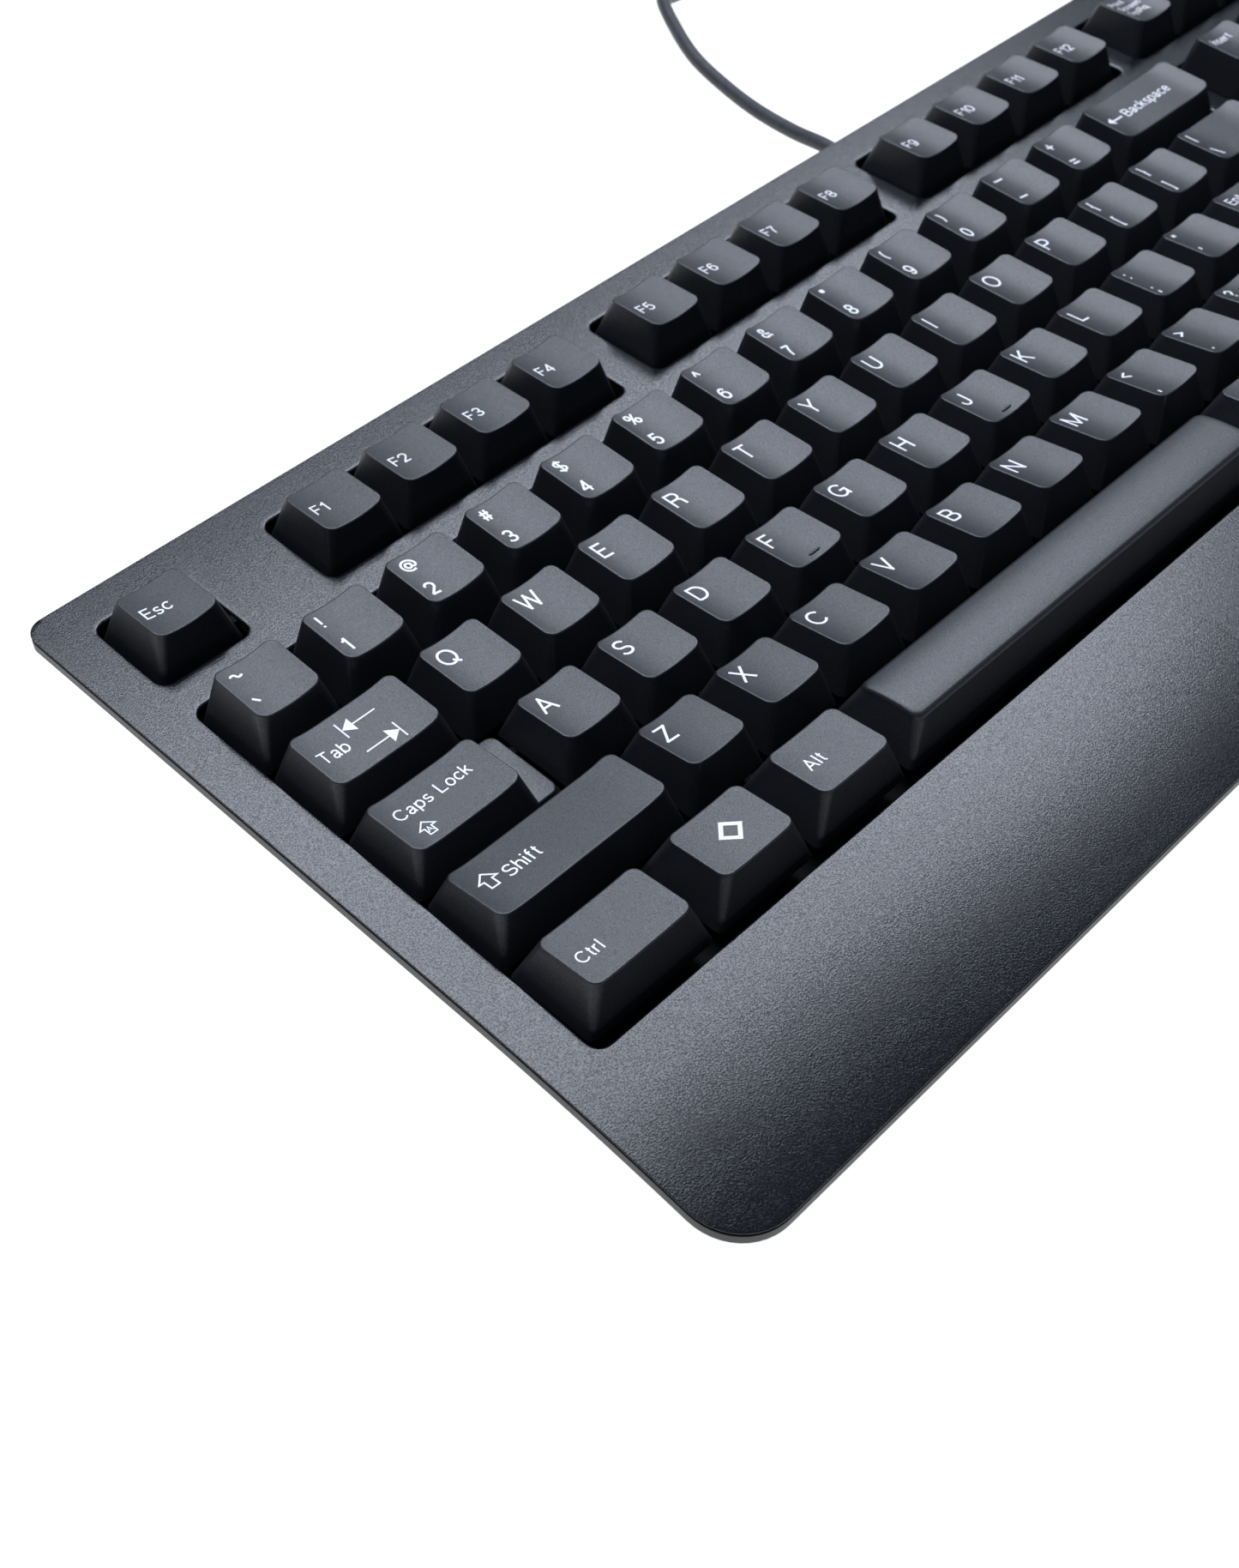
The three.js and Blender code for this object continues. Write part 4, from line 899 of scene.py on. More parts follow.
def backspace_glyph(ink, shape):
    x = -shape["half_x"] + 1.6
    add_arrow(ink, (x, 0), (x + 5.4, 0), head=1.9, half=1.3, line=0.45)


def enter_glyph(ink, shape):
    x, y = -shape["half_x"] + 2.4, shape["half_y"] - 10
    add_arrow(ink, (x, y), (x + 4.6, y), head=1.6, half=1.1)
    add_stroke(ink, (x + 4.6, y - LINE / 2), (x + 4.6, y + 2), LINE)


def cursor_glyph(direction):
    def draw(ink, _shape):
        reach = Vector(direction) * 2.3
        add_arrow(ink, reach, -reach, head=2.1, half=1.3, line=0.4)
    return draw


GLYPHS = {
    "tab": tab_glyph, "caps_lock": caps_glyph, "shift": shift_glyph, "system": system_glyph,
    "menu": menu_glyph, "backspace": backspace_glyph, "enter": enter_glyph,
    "arrow_up": cursor_glyph((0, 1)), "arrow_down": cursor_glyph((0, -1)),
    "arrow_left": cursor_glyph((-1, 0)), "arrow_right": cursor_glyph((1, 0)),
}

SHIFTED = {
    "grave": "~`", "1": "!1", "2": "@2", "3": "#3", "4": "$4", "5": "%5", "6": "^6", "7": "&7",
    "8": "*8", "9": "(9", "0": ")0", "minus": "_-", "equals": "+=", "bracket_left": "{[",
    "bracket_right": "}]", "backslash": "|\\", "semicolon": ":;", "quote": "\"'", "comma": "<,",
    "period": ">.", "slash": "?/",
}
# Small words: text, distance from the cap's left edge, baseline below the rear edge, and height.
WORDS = {
    "tab": ("Tab", 1.7, 8.4, 2.7),
    "caps_lock": ("Caps Lock", 2.8, 6.35, 2.6),
    "shift": ("Shift", 7.4, 8.0, 2.75),
    "ctrl": ("Ctrl", 2.1, 8.5, 2.4),
    "alt": ("Alt", 2.9, 7.8, 2.65),
    "backspace": ("Backspace", 8.2, 8.1, 2.75),
    "enter": ("Enter", 2.4, 5.0, 2.75),
    "esc": ("Esc", 1.8, 8.3, 2.9),
    "print_screen": ("Print\nScreen\nSysRq", 1.6, 4.2, 1.95),
    "scroll_lock": ("Scroll\nLock", 1.7, 5.6, 2.2),
    "pause": ("Pause\nBreak", 1.7, 5.6, 2.2),
    **{name: (text, 1.8, 5.2, 2.3) for name, text in {
        "insert": "Insert", "home": "Home", "page_up": "Page\nUp", "delete": "Delete", "end": "End",
        "page_down": "Page\nDown", "num_lock": "Num\nLock", "pad_enter": "Enter",
    }.items()},
}
PAD_SIGNS = {
    "pad_divide": "/", "pad_multiply": "*", "pad_subtract": "-", "pad_add": "+", "pad_decimal": ".",
}
PAD_WORDS = {
    "pad_7": "Home", "pad_9": "PgUp", "pad_1": "End", "pad_3": "PgDn", "pad_0": "Ins",
    "pad_decimal": "Del",
}
PAD_CURSORS = {"pad_8": (0, 1), "pad_2": (0, -1), "pad_4": (-1, 0), "pad_6": (1, 0)}


def draw_pad_legend(ink, name, left, rear):
    sign = PAD_SIGNS.get(name, name[-1])
    add_text(ink, sign, left + 1.9, rear - 6.0, 3.9)
    if name in PAD_WORDS:
        add_text(ink, PAD_WORDS[name], left + 1.9, rear - 11.6, 1.9)
    if name in PAD_CURSORS:
        centre = Vector((left + 3.3, rear - 10.6))
        reach = Vector(PAD_CURSORS[name]) * 1.4
        add_arrow(ink, centre + reach, centre - reach, head=1.2, half=0.85)


def draw_legend(ink, key, shape):
    """Lays one key's legend flat, with its origin at the middle of the cap's top."""
    name = key["name"]
    if name.split("_")[0] in ("shift", "ctrl", "alt", "system"):
        name = name.split("_")[0]
    left, rear, front = -shape["half_x"], shape["half_y"], -shape["half_y"]
    if name in GLYPHS:
        GLYPHS[name](ink, shape)
    if name in WORDS:
        text, x, below, height = WORDS[name]
        add_text(ink, text, left + x, rear - below, height)
    elif name in SHIFTED:
        upper, lower = SHIFTED[name]
        add_text(ink, upper, left + 2.2, rear - 4.7, 3.1, DIGIT_WEIGHT)
        add_text(ink, lower, left + 1.85, front + 2.0, 3.3, DIGIT_WEIGHT)
    elif name.startswith("pad_"):
        draw_pad_legend(ink, name, left, rear)
    elif len(name) == 1:
        add_text(ink, name.upper(), left + 2.05, rear - 6.25, 4.1)
    elif name[0] == "f":
        add_text(ink, name.upper(), left + 1.9, rear - 8.4, 2.8)


def triangulated(outlines, extra, output, tolerance):
    """Triangles of flat closed outlines and loose extra points, and how many points are outlines'."""
    points = []
    edges = []
    for outline in outlines:
        start = len(points)
        points.extend(Vector(p) for p in outline)
        edges.extend((start + i, start + (i + 1) % len(outline)) for i in range(len(outline)))
    boundary = len(points)
    points.extend(Vector(p) for p in extra)
    return delaunay_2d_cdt(points, edges, [], output, tolerance), boundary


def inside(point, polygon):
    """Whether a point lies inside a closed outline."""
    x, y = point
    found = False
    for i, (x1, y1) in enumerate(polygon):
        x0, y0 = polygon[i - 1]
        if (y0 > y) != (y1 > y) and x < (x1 - x0) * (y - y0) / (y1 - y0) + x0:
            found = not found
    return found


def merged_ink(polygons):
    """One clean flat mesh of everything that any of the polygons covers."""
    result, _ = triangulated(polygons, (), 0, 1e-4)
    reach = [(min(p[0] for p in g), max(p[0] for p in g), g) for g in polygons]
    work = bmesh.new()
    vertices = [work.verts.new((x, y, 0)) for x, y in result[0]]
    for face in result[2]:
        middle = sum((result[0][i] for i in face), Vector((0, 0))) / len(face)
        if any(low < middle.x < high and inside(middle, polygon) for low, high, polygon in reach):
            work.faces.new([vertices[i] for i in face])
    bmesh.ops.delete(work, geom=[v for v in vertices if not v.link_faces], context="VERTS")
    return work


def cut_strips(work, left, right):
    """Cuts flat ink into upright strips, so that it can bend with the dish."""
    x = left + INK_STRIP
    while x < right:
        parts = [*work.verts, *work.edges, *work.faces]
        bmesh.ops.bisect_plane(work, geom=parts, plane_co=(x, 0, 0), plane_no=(1, 0, 0))
        x += INK_STRIP


def build_legend(key, shape):
    """The printed legend: a thin solid of ink that follows the cap's dished top."""
    ink = []
    draw_legend(ink, key, shape)
    if not ink:
        return
    work = merged_ink(ink)
    if shape["dish"] > 0:
        xs = [v.co.x for v in work.verts]
        cut_strips(work, min(xs), max(xs))
    work.normal_update()
    flat = list(work.faces)
    for face in flat:
        if face.normal.z < 0:
            face.normal_flip()
    raised = bmesh.ops.extrude_face_region(work, geom=flat)["geom"]
    top = {v for v in raised if isinstance(v, bmesh.types.BMVert)}
    for vertex in work.verts:
        x, y = vertex.co.x, vertex.co.y
        lift = INK_PROUD if vertex in top else -INK_SUNK
        vertex.co.z = top_height(shape, x, y) + lift
        vertex.co.x = x + shape["x"]
        vertex.co.y = y + shape["y"] + shape["shift"]
    bmesh.ops.recalc_face_normals(work, faces=work.faces)
    mesh = bpy.data.meshes.new(f"legend_{key['name']}")
    work.to_mesh(mesh)
    work.free()
    mesh.transform(DECK_TO_DESK)
    mesh.materials.append(MATERIALS["ink"])
    piece = bpy.data.objects.new(mesh.name, mesh)
    bpy.context.scene.collection.objects.link(piece)
    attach(piece, body_of_key(key["name"]))


def build_keys():
    """Every cap and legend; the first cap on each body stands for the CAD node."""
    stood_for = set()
    for key in KEYS:
        cap, shape = build_cap(key)
        body = body_of_key(key["name"])
        if body not in stood_for:
            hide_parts(body)
            stood_for.add(body)
        build_legend(key, shape)


# ---- case ----
OPENING_CORNER = 2.4
OPENING_SIDE = 0.4
OPENING_REAR = 0.4
OPENING_FRONT = 2
FUNCTION_FRONT = 1.3
LENS = dict(x=PAD_LEFT + 2 * UNIT, y=3.5 * UNIT, width=44, depth=4.4, thickness=1.4)


def opening(left, right, front_row, rear_row):
    """The bounds of the opening round a group of whole rows of keys."""
    margin = FUNCTION_FRONT if front_row == "function" else OPENING_FRONT
    return (left - OPENING_SIDE, right + OPENING_SIDE,
            ROWS[front_row]["y"] - UNIT / 2 - margin, ROWS[rear_row]["y"] + UNIT / 2 + OPENING_REAR)


def openings():
    nav_right = NAV_LEFT + 3 * UNIT
    function = [(0, 1), (2, 6), (6.5, 10.5), (11, 15)]
    return [
        *[opening(a * UNIT, b * UNIT, "function", "function") for a, b in function],
        opening(NAV_LEFT, nav_right, "function", "function"),
        opening(0, MAIN_WIDTH, "bottom", "number"),
        opening(NAV_LEFT, nav_right, "upper", "number"),
        opening(PAD_LEFT, PAD_RIGHT, "bottom", "number"),
    ]


def arrows_opening():
    """The corners of the inverted-T opening round the cursor keys, counterclockwise."""
    left, right = NAV_LEFT - OPENING_SIDE, NAV_LEFT + 3 * UNIT + OPENING_SIDE
    neck_left, neck_right = NAV_LEFT + UNIT - OPENING_SIDE, NAV_LEFT + 2 * UNIT + OPENING_SIDE
    front = ROWS["bottom"]["y"] - UNIT / 2 - OPENING_FRONT
    middle = ROWS["bottom"]["y"] + UNIT / 2 + OPENING_REAR
    rear = ROWS["lower"]["y"] + UNIT / 2 + OPENING_REAR
    return [(left, front), (right, front), (right, middle), (neck_right, middle),
            (neck_right, rear), (neck_left, rear), (neck_left, middle), (left, middle)]


def offset_polygon(points, grow):
    """A right-angled polygon, counterclockwise, moved outwards by grow."""
    moved = []
    for i, point in enumerate(points):
        here = Vector(point)
        back = (here - Vector(points[i - 1])).normalized()
        ahead = (Vector(points[(i + 1) % len(points)]) - here).normalized()
        moved.append(tuple(here + Vector((back.y + ahead.y, -back.x - ahead.x)) * grow))
    return moved


def round_polygon(points, radius, steps=5):
    """Rounds every corner of a right-angled polygon; inner corners keep the same radius."""
    rounded = []
    count = len(points)
    for i in range(count):
        here = Vector(points[i])
        back = (Vector(points[i - 1]) - here).normalized()
        ahead = (Vector(points[(i + 1) % count]) - here).normalized()
        centre = here + (back + ahead) * radius
        for k in range(steps + 1):
            angle = math.pi / 2 * k / steps
            away = ahead * math.cos(angle) + back * math.sin(angle)
            rounded.append(tuple(centre - away * radius))
    return rounded


def fill_between(outer, holes, extra):
    """Triangles of the flat region inside outer and outside the holes, with extra points in it."""
    result, boundary = triangulated((outer, *holes), extra, 1, 1e-5)
    triangles = []
    for face in result[2]:
        corners = [result[0][i] for i in face]
        middle = sum(corners, Vector((0, 0))) / len(corners)
        if not any(inside(middle, hole) for hole in holes):
            triangles.append(tuple(face))
    return result[0], triangles, result[3], boundary


def sheet_with_holes(outer_rings, hole_rings, extra):
    """A closed sheet: each boundary is a list of rings from the top face down to the underside."""
    vertices = []
    faces = []
    starts = []
    for rings in (outer_rings, *hole_rings):
        start = len(vertices)
        starts.append((start, len(rings), len(rings[0])))
        vertices.extend(flat_points(rings))
        faces.extend(tuple(start + i for i in face) for face in stitch(rings, close_ends=False))
    for level in (0, -1):
        boundary_ids = []
        outlines = []
        for (start, depth, count), rings in zip(starts, (outer_rings, *hole_rings)):
            ring = level % depth
            boundary_ids.extend(start + ring * count + k for k in range(count))
            outlines.append([point[:2] for point in rings[ring]])
        points, triangles, origins, boundary = fill_between(outlines[0], outlines[1:], extra)
        lookup = {}
        for index, sources in enumerate(origins):
            known = [s for s in sources if s < boundary]
            if known:
                lookup[index] = boundary_ids[known[0]]
        drop = 0 if level == 0 else DECK_THICKNESS
        for triangle in triangles:
            for index in triangle:
                if index not in lookup:
                    x, y = points[index]
                    vertices.append((x, y, deck_height(y) - drop))
                    lookup[index] = len(vertices) - 1
            faces.append(tuple(lookup[index] for index in triangle))
    return vertices, faces


def deck_ring(inset, depth):
    """One ring round the deck, inset from its edge and depth below its rolled top."""
    bounds = (DECK["left"] + inset, DECK["right"] - inset, DECK["front"] + inset, DECK["rear"] - inset)
    radii = (FRONT_RADIUS - inset, max(REAR_RADIUS - inset, 1))
    return [(x, y, deck_height(y) - depth) for x, y in rounded_outline(bounds, radii, 12, 24, 40)]


DECK_LIP = 0.3  # visible thickness of the deck's edge; the seam below it lies in shadow
DECK_EDGE = 0.15
OPENING_EDGE = 0.45
LENS_CORNER = 0.6
ARROWS_CORNER = 2
FOLD_STEP = 2  # spacing of the extra points that carry the roll of the palm rest
FOLD_START = 22.5


def case_outlines():
    """For each hole in the deck, a function that gives its outline grown by some distance."""
    def rounded(bounds, radius, steps):
        left, right, front, rear = bounds

        def outline_at(grow):
            grown = (left - grow, right + grow, front - grow, rear + grow)
            return rounded_outline(grown, (radius + grow, radius + grow), *steps)
        return outline_at

    half_x, half_y = LENS["width"] / 2 + SEAM, LENS["depth"] / 2 + SEAM
    lens = (LENS["x"] - half_x, LENS["x"] + half_x, LENS["y"] - half_y, LENS["y"] + half_y)
    return [
        *[rounded(bounds, OPENING_CORNER, (6, 6, 6)) for bounds in openings()],
        lambda grow: round_polygon(offset_polygon(arrows_opening(), grow), ARROWS_CORNER),
        rounded(lens, LENS_CORNER, (4, 4, 2)),
    ]


def hole_rings(outline_at):
    """Rings from just outside a hole, over its eased edge and down its wall."""
    levels = [(OPENING_EDGE + 0.6, 0), *rounded_edge(OPENING_EDGE, 3), (0, DECK_THICKNESS)]
    return [[(x, y, deck_height(y) - depth) for x, y in outline_at(grow)] for grow, depth in levels]


def build_top_case():
    step = BAND_WIDTH + SEAM
    levels = [(1.2, 0), *rounded_edge(DECK_EDGE), (0.02, DECK_LIP), (step, DECK_LIP + 0.01),
              (step, DECK_THICKNESS)]
    outer = [deck_ring(inset, depth) for inset, depth in levels]
    extra = []
    y = ROLL_START - FOLD_START
    while y >= DECK["front"] + 4:
        extra.extend((DECK["left"] + 4 + k * 11.6, y) for k in range(1, 38))
        y -= FOLD_STEP
    sheet = sheet_with_holes(outer, [hole_rings(outline) for outline in case_outlines()], extra)
    make_piece("deck_cover", sheet, "deck", stands_for="top_case")


BAND_TOP = 0.9
BAND_EASE = 0.1


def build_band():
    """The smooth band under the deck's edge, its outer edges eased."""
    upper = [(BAND_WIDTH, 0), (BAND_EASE, 0), (BAND_EASE * 0.3, BAND_EASE * 0.3), (0, BAND_EASE)]
    profile = [(inset, BAND_TOP + drop) for inset, drop in upper]
    profile += [(inset, BAND_BOTTOM - drop) for inset, drop in reversed(upper)]
    rings = [deck_ring(inset, depth) for inset, depth in profile]
    make_piece("edge_band", skin(rings, loop=True), "band", stands_for="trim_band")


def rounded_block(name, size, centre, corner, edge, material, turn=Matrix.Identity(4), **options):
    """A block with rounded corners in plan and eased top and bottom edges."""
    half_x, half_y, half_z = (s / 2 for s in size)
    profile = [(i, half_z - d) for i, d in rounded_edge(edge, 3)]
    profile += [(i, -z) for i, z in reversed(profile)]
    rings = []
    for inset, z in profile:
        bounds = (-half_x + inset, half_x - inset, -half_y + inset, half_y - inset)
        radius = max(corner - inset, 0.05)
        rings.append([(x, y, z) for x, y in rounded_outline(bounds, (radius, radius), 5, 2, 2)])
    place = options.pop("place", DECK_TO_DESK) @ Matrix.Translation(centre) @ turn
    return make_piece(name, skin(rings), material, place=place, **options)


def build_lens():
    size = (LENS["width"], LENS["depth"], LENS["thickness"])
    centre = (LENS["x"], LENS["y"], -LENS["thickness"] / 2)
    rounded_block("indicator_window", size, centre, LENS_CORNER, 0.2, "lens", stands_for="indicator_lens")


def underside(y, raise_by):
    """Depth in the deck frame of the level plane raise_by above the underside."""
    slope = math.tan(DECK_TILT)
    return -UNDERSIDE_DEPTH - (y - DECK_CENTRE[1]) * slope + raise_by / math.cos(DECK_TILT)


PAD_SIZE = (26, 8, PAD_HEIGHT)
# End: y of its feet, and their distance from the deck's sides.
PAD_PLACES = {"front": (-62, 40), "rear": (60, 88)}


def build_rubber_feet():
    level = Matrix.Rotation(-DECK_TILT, 4, "X")
    for end, (y, from_side) in PAD_PLACES.items():
        for side, x in (("left", DECK["left"] + from_side), ("right", DECK["right"] - from_side)):
            z = underside(y, PAD_HEIGHT / 2 - PAD_PROUD)
            rounded_block(f"foot_pad_{end}_{side}", PAD_SIZE, (x, y, z), 2.5, 0.5, "rubber", turn=level,
                          stands_for=f"rubber_foot_{end}_{side}")


# ---- cable and plug ----
PLUG_START = Vector((128, 137, 4))
BOOT_SIZE = (26, 15, 8)
SHELL = dict(length=18.5, width=12, height=4.5, wall=0.4, corner=0.7)
# Deck-frame points down the rear wall to the desk.
CABLE_RISE = [
    (CABLE_EXIT[0], 75.6, -13), (CABLE_EXIT[0], 82, -13), (CABLE_EXIT[0], 90, -13), (228.1, 99.1, -13.5),
    (230.1, 110.4, -15.5), (232.9, 125, -17), (237.1, 139.7, -18), (242, 154.8, -18),
    (249.7, 169.2, -18), (258.5, 182, -18.5),
]


def cable_points():
    """Desk-frame points, in millimetres, that the cable passes through."""
    points = [DECK_TO_LEVEL @ Vector(p) for p in CABLE_RISE]
    last = points[-1]
    return points + [
        Vector((last.x + 14, last.y + 10, 8)),
        Vector((last.x + 34, last.y + 12, 4)),
        Vector((PLUG_START.x - 14, PLUG_START.y + 12, 3)),
        PLUG_START + Vector((-4, 1, 0)),
        PLUG_START + Vector((8, 0, 0)),
    ]


def smooth_path(points, parts):
    """A centripetal curve through the points, each span cut into parts."""
    ends = [2 * points[0] - points[1], *points, 2 * points[-1] - points[-2]]
    path = []
    for i in range(1, len(ends) - 2):
        a, b, c, d = ends[i - 1:i + 3]
        t = [0.0]
        for p, q in ((a, b), (b, c), (c, d)):
            t.append(t[-1] + math.sqrt((q - p).length))
        for k in range(parts):
            s = t[1] + (t[2] - t[1]) * k / parts
            ab = a.lerp(b, (s - t[0]) / (t[1] - t[0]))
            bc = b.lerp(c, (s - t[1]) / (t[2] - t[1]))
            cd = c.lerp(d, (s - t[2]) / (t[3] - t[2]))
            abc = ab.lerp(bc, (s - t[0]) / (t[2] - t[0]))
            bcd = bc.lerp(cd, (s - t[1]) / (t[3] - t[1]))
            path.append(abc.lerp(bcd, (s - t[1]) / (t[2] - t[1])))
    path.append(points[-1])
    return path


def tube_rings(path, radius, sides):
    """Rings of a round tube that follows the path without twisting."""
    rings = []
    side = Vector((1, 0, 0))
    for i, point in enumerate(path):
        ahead = path[min(i + 1, len(path) - 1)] - path[max(i - 1, 0)]
        ahead.normalize()
        side = (side - ahead * side.dot(ahead)).normalized()
        up = ahead.cross(side)
        rings.append([point + (side * c + up * s) * radius for c, s in circle(sides)])
    return rings


def build_cable():
    rings = tube_rings(smooth_path(cable_points(), 8), CABLE_RADIUS, 20)
    make_piece("cable", skin(rings), "cable", place=DESK, stands_for="usb_cable")


COLLAR = [(-5.3, 4.4), (-5.1, 4.6), (-3.9, 4.6), (-3.7, 4.4), (-3.7, 3.4), (1.5, 3.4), (1.5, 4.4),
          (1.7, 4.6), (3.5, 4.6), (3.8, 4.4)]
RIBS = dict(count=5, start=3.9, pitch=1.0, radius=4.1, taper=0.27, depth=0.5)
TAIL_END = 9.0


def grommet_profile():
    """(along, radius) pairs of the strain relief: flanged collar, tapering ribs, tip and bore."""
    bore = CABLE_RADIUS + SEAM
    profile = [(COLLAR[0][0], bore), *COLLAR]
    for i in range(RIBS["count"]):
        start = RIBS["start"] + i * RIBS["pitch"]
        crest = RIBS["radius"] - i * RIBS["taper"]
        root = crest - RIBS["depth"]
        profile += [(start, root), (start + 0.35, root), (start + 0.45, crest), (start + 0.85, crest)]
    return profile + [(TAIL_END - 0.05, 2.6), (TAIL_END, 2.45), (TAIL_END, bore)]


def build_grommet():
    """The strain relief, set in the rear wall where the cable comes out."""
    wall = DECK["rear"] - 1.5 - 0.22 * 13
    x, _, z = CABLE_EXIT
    rings = [[(x + radius * c, wall + along, z + radius * s) for c, s in circle(32)]
             for along, radius in grommet_profile()]
    make_piece("strain_relief", skin(rings, loop=True), "rubber", stands_for="cable_grommet")


def build_plug():
    """The moulded boot with its grips, the metal shell, and the contact tongue inside it."""
    middle = PLUG_START + Vector((BOOT_SIZE[0] / 2, 0, 0))
    rounded_block("plug_boot", BOOT_SIZE, middle, 3, 1.2, "rubber", place=DESK, stands_for="usb_plug_boot")
    for side, y in (("right", -7.2), ("left", 7.2)):
        for i in range(5):
            at = middle + Vector((-5 + i * 2.4, y, 0))
            rounded_block(f"plug_grip_{side}_{i + 1}", (1.1, 1.4, 5.2), at, 0.4, 0.3, "rubber", place=DESK)
    shell_start = PLUG_START + Vector((BOOT_SIZE[0] + SEAM, 0, 0))
    build_plug_shell(shell_start)
    rounded_block("plug_tongue", (15.2, 10.6, 1.7), shell_start + Vector((9.2, 0, 0.7)), 0.3, 0.12,
                  "tongue", slot="plug", place=DESK)
    for i in range(4):
        at = shell_start + Vector((10, -3.5 + i * 7 / 3, -0.2))
        rounded_block(f"plug_contact_{i + 1}", (9, 1.1, 0.22), at, 0.2, 0.05, "contact", slot="plug",
                      place=DESK)


def build_plug_shell(start):
    """The open-ended metal shell, with two square latch windows in its top and two below."""
    def outline(inset, corner):
        half_y, half_z = SHELL["width"] / 2 - inset, SHELL["height"] / 2 - inset
        return rounded_outline((-half_y, half_y, -half_z, half_z), (corner, corner), 4, 2, 2)

    outer = outline(0, SHELL["corner"])
    inner = outline(SHELL["wall"], SHELL["corner"] / 2)
    length = SHELL["length"]
    levels = ((outer, 0), (outer, length - 0.15), (inner, length), (inner, 1.2))
    rings = [[tuple(start + Vector((x, y, z))) for y, z in points] for points, x in levels]
    shell = make_piece("plug_shell", skin(rings), "plug", place=DESK, stands_for="usb_plug_shell")
    for z in (SHELL["height"] / 2, -SHELL["height"] / 2):
        for y in (-2.6, 2.6):
            tool = rounded_block("latch_tool", (2.6, 2.2, 1.6), start + Vector((8.5, y, z)), 0.2, 0.05,
                                 "plug", place=DESK)
            apply_boolean(shell, tool, "DIFFERENCE")
    shell.data.shade_flat()


# ---- CAD nodes that stay as they are ----
KEPT_NODES = {
    "bottom_case": "shell", "switch_plate": "plate", "switch_housings": "housing",
    "circuit_board": "board", "controller_chip": "chip", "tilt_foot_left": "shell",
    "tilt_foot_right": "shell",
}
EASED_NODES = ("bottom_case", "tilt_foot_left", "tilt_foot_right", "controller_chip")


def dress_kept_nodes():
    for name, material in KEPT_NODES.items():
        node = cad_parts[name]
        node.data.materials.clear()
        node.data.materials.append(MATERIALS[material])
        if name in EASED_NODES:
            bevel = node.modifiers.new("eased", "BEVEL")
            bevel.width = 0.0004
            bevel.segments = 2
            bevel.limit_method = "ANGLE"
            bevel.angle_limit = math.radians(40)
            bevel.harden_normals = False


# ---- stage ----
FLOOR_HALF = 6
FLOOR_DROP = 0.0002  # keeps the floor just clear of the feet


def build_floor():
    """A plain pale floor that can't be seen from below."""
    signs = ((-1, -1), (1, -1), (1, 1), (-1, 1))
    corners = [(x * FLOOR_HALF, y * FLOOR_HALF, -FLOOR_DROP) for x, y in signs]
    mesh = bpy.data.meshes.new("floor")
    mesh.from_pydata(corners, [], [(0, 1, 2, 3)])
    shader = Shader("floor_paper")
    tone = shader.patches(60, 2)
    backfacing = shader.add("ShaderNodeNewGeometry").outputs["Backfacing"]
    mesh.materials.append(shader.finish(
        Base_Color=shader.mix(tone, (0.30, 0.30, 0.30), (0.32, 0.32, 0.32)), Roughness=0.9,
        Emission_Color=(1, 1, 1, 1), Emission_Strength=1.0, Specular_IOR_Level=0.1,
        Alpha=shader.ramp(backfacing, 0, 1, 1, 0),
    ))
    floor = bpy.data.objects.new("floor", mesh)
    bpy.context.scene.collection.objects.link(floor)


LIGHT_TARGET = Vector((90, -20, 0))
LIGHT_DISTANCE = 1.6
LIGHT_COLOUR = (0.90, 0.97, 1.12)
SURROUND = (0.095, 0.112, 0.145, 1)


def unit_direction(azimuth, elevation):
    """A unit vector in the deck frame; azimuth runs from the back (+Y) towards the right (+X)."""
    a, e = math.radians(azimuth), math.radians(elevation)
    return Vector((math.sin(a) * math.cos(e), math.cos(a) * math.cos(e), math.sin(e)))


def place_facing(item, spot, away, turn):
    """Puts an object at a desk-frame spot, its back along away in the deck frame, turned about it."""
    right = Vector((0, 0, 1)).cross(away).normalized()
    axes = Matrix((right, away.cross(right), away)).transposed() @ Matrix.Rotation(turn, 3, "Z")
    tilt = Matrix.Rotation(DECK_TILT, 3, "X")
    item.matrix_world = Matrix.Translation(spot) @ (tilt @ axes).to_4x4()
    bpy.context.scene.collection.objects.link(item)


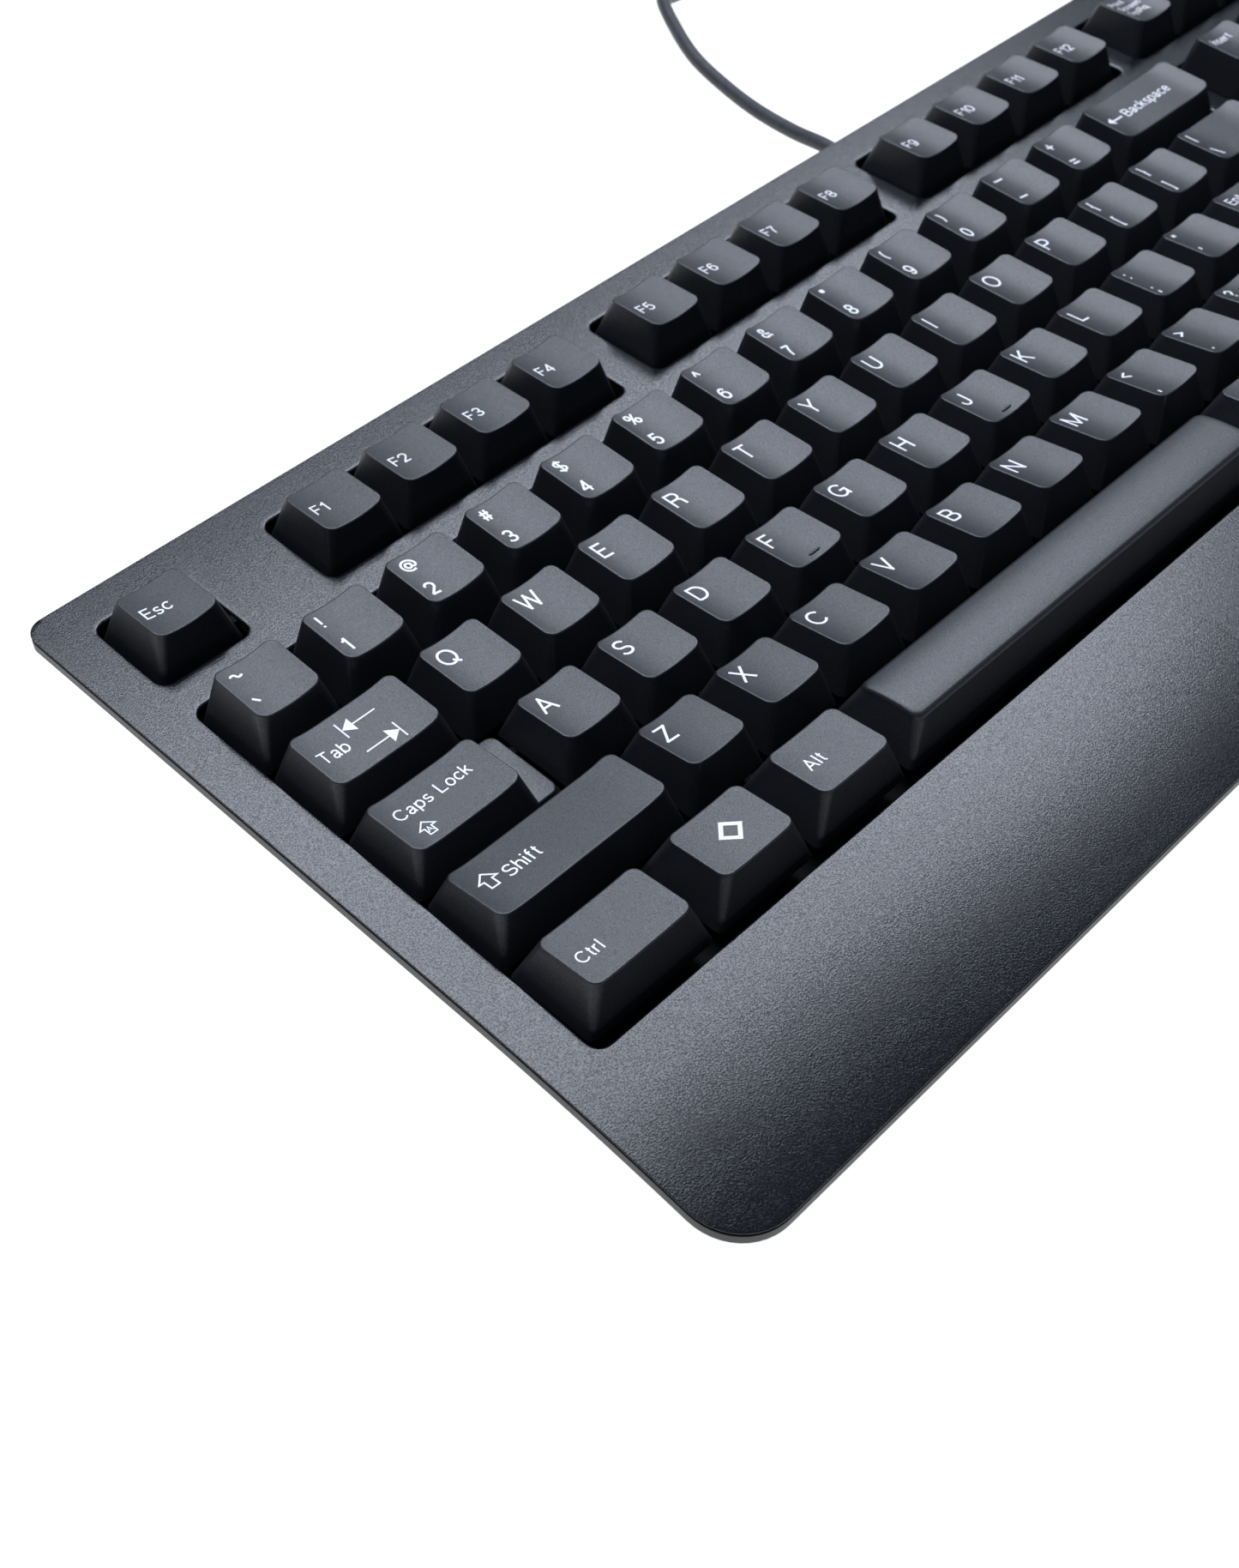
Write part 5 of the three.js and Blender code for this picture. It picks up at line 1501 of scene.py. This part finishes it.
def add_softbox(name, azimuth, elevation, turn, size, power):
    """A rectangular light that faces the deck."""
    light = bpy.data.lights.new(name, "AREA")
    light.shape = "RECTANGLE"
    light.size, light.size_y = size
    light.energy = power
    light.color = LIGHT_COLOUR
    away = unit_direction(azimuth, elevation)
    tilt = Matrix.Rotation(DECK_TILT, 3, "X")
    spot = DECK_TO_DESK @ LIGHT_TARGET + tilt @ away * LIGHT_DISTANCE
    place_facing(bpy.data.objects.new(name, light), spot, away, math.radians(turn))


def build_world():
    """A dim bluish surround that lights the object, and looks pale where the camera sees it."""
    world = bpy.data.worlds.new("studio")
    bpy.context.scene.world = world
    world.use_nodes = True
    tree = world.node_tree
    mix = tree.nodes.new("ShaderNodeMix")
    mix.data_type = "RGBA"
    mix.inputs["A"].default_value = SURROUND
    mix.inputs["B"].default_value = (1, 1, 1, 1)
    seen = tree.nodes.new("ShaderNodeLightPath").outputs["Is Camera Ray"]
    tree.links.new(seen, mix.inputs["Factor"])
    tree.links.new(mix.outputs["Result"], tree.nodes["Background"].inputs["Color"])


def build_lights():
    add_softbox("softbox_overhead", 28.3, 59, 20.2, (2.17, 1.0), 40)
    add_softbox("softbox_back_right", 60.6, 34, 0, (1.4, 1.4), 2)
    build_world()
    bpy.context.scene.view_settings.view_transform = "Standard"


CAMERA = dict(place=(-115.23, -163.88, 248.59), heading=46.105, down=49.246, roll=0.481, lens=45.55)
FOCUS = (40, -30, 3)


def build_camera():
    data = bpy.data.cameras.new("camera")
    data.lens = CAMERA["lens"]
    data.sensor_width = 36
    data.clip_start = 0.01
    camera = bpy.data.objects.new("camera", data)
    away = -unit_direction(CAMERA["heading"], -CAMERA["down"])
    place_facing(camera, DECK_TO_DESK @ Vector(CAMERA["place"]), away, math.radians(CAMERA["roll"]))
    focus = bpy.data.objects.new("focus", None)
    focus.location = DECK_TO_DESK @ Vector(FOCUS)
    bpy.context.scene.collection.objects.link(focus)
    data.dof.use_dof = True
    data.dof.focus_object = focus
    data.dof.aperture_fstop = 34
    bpy.context.scene.camera = camera


build_keys()
build_top_case()
build_band()
build_lens()
build_rubber_feet()
build_cable()
build_grommet()
build_plug()
dress_kept_nodes()
build_floor()
build_lights()
build_camera()
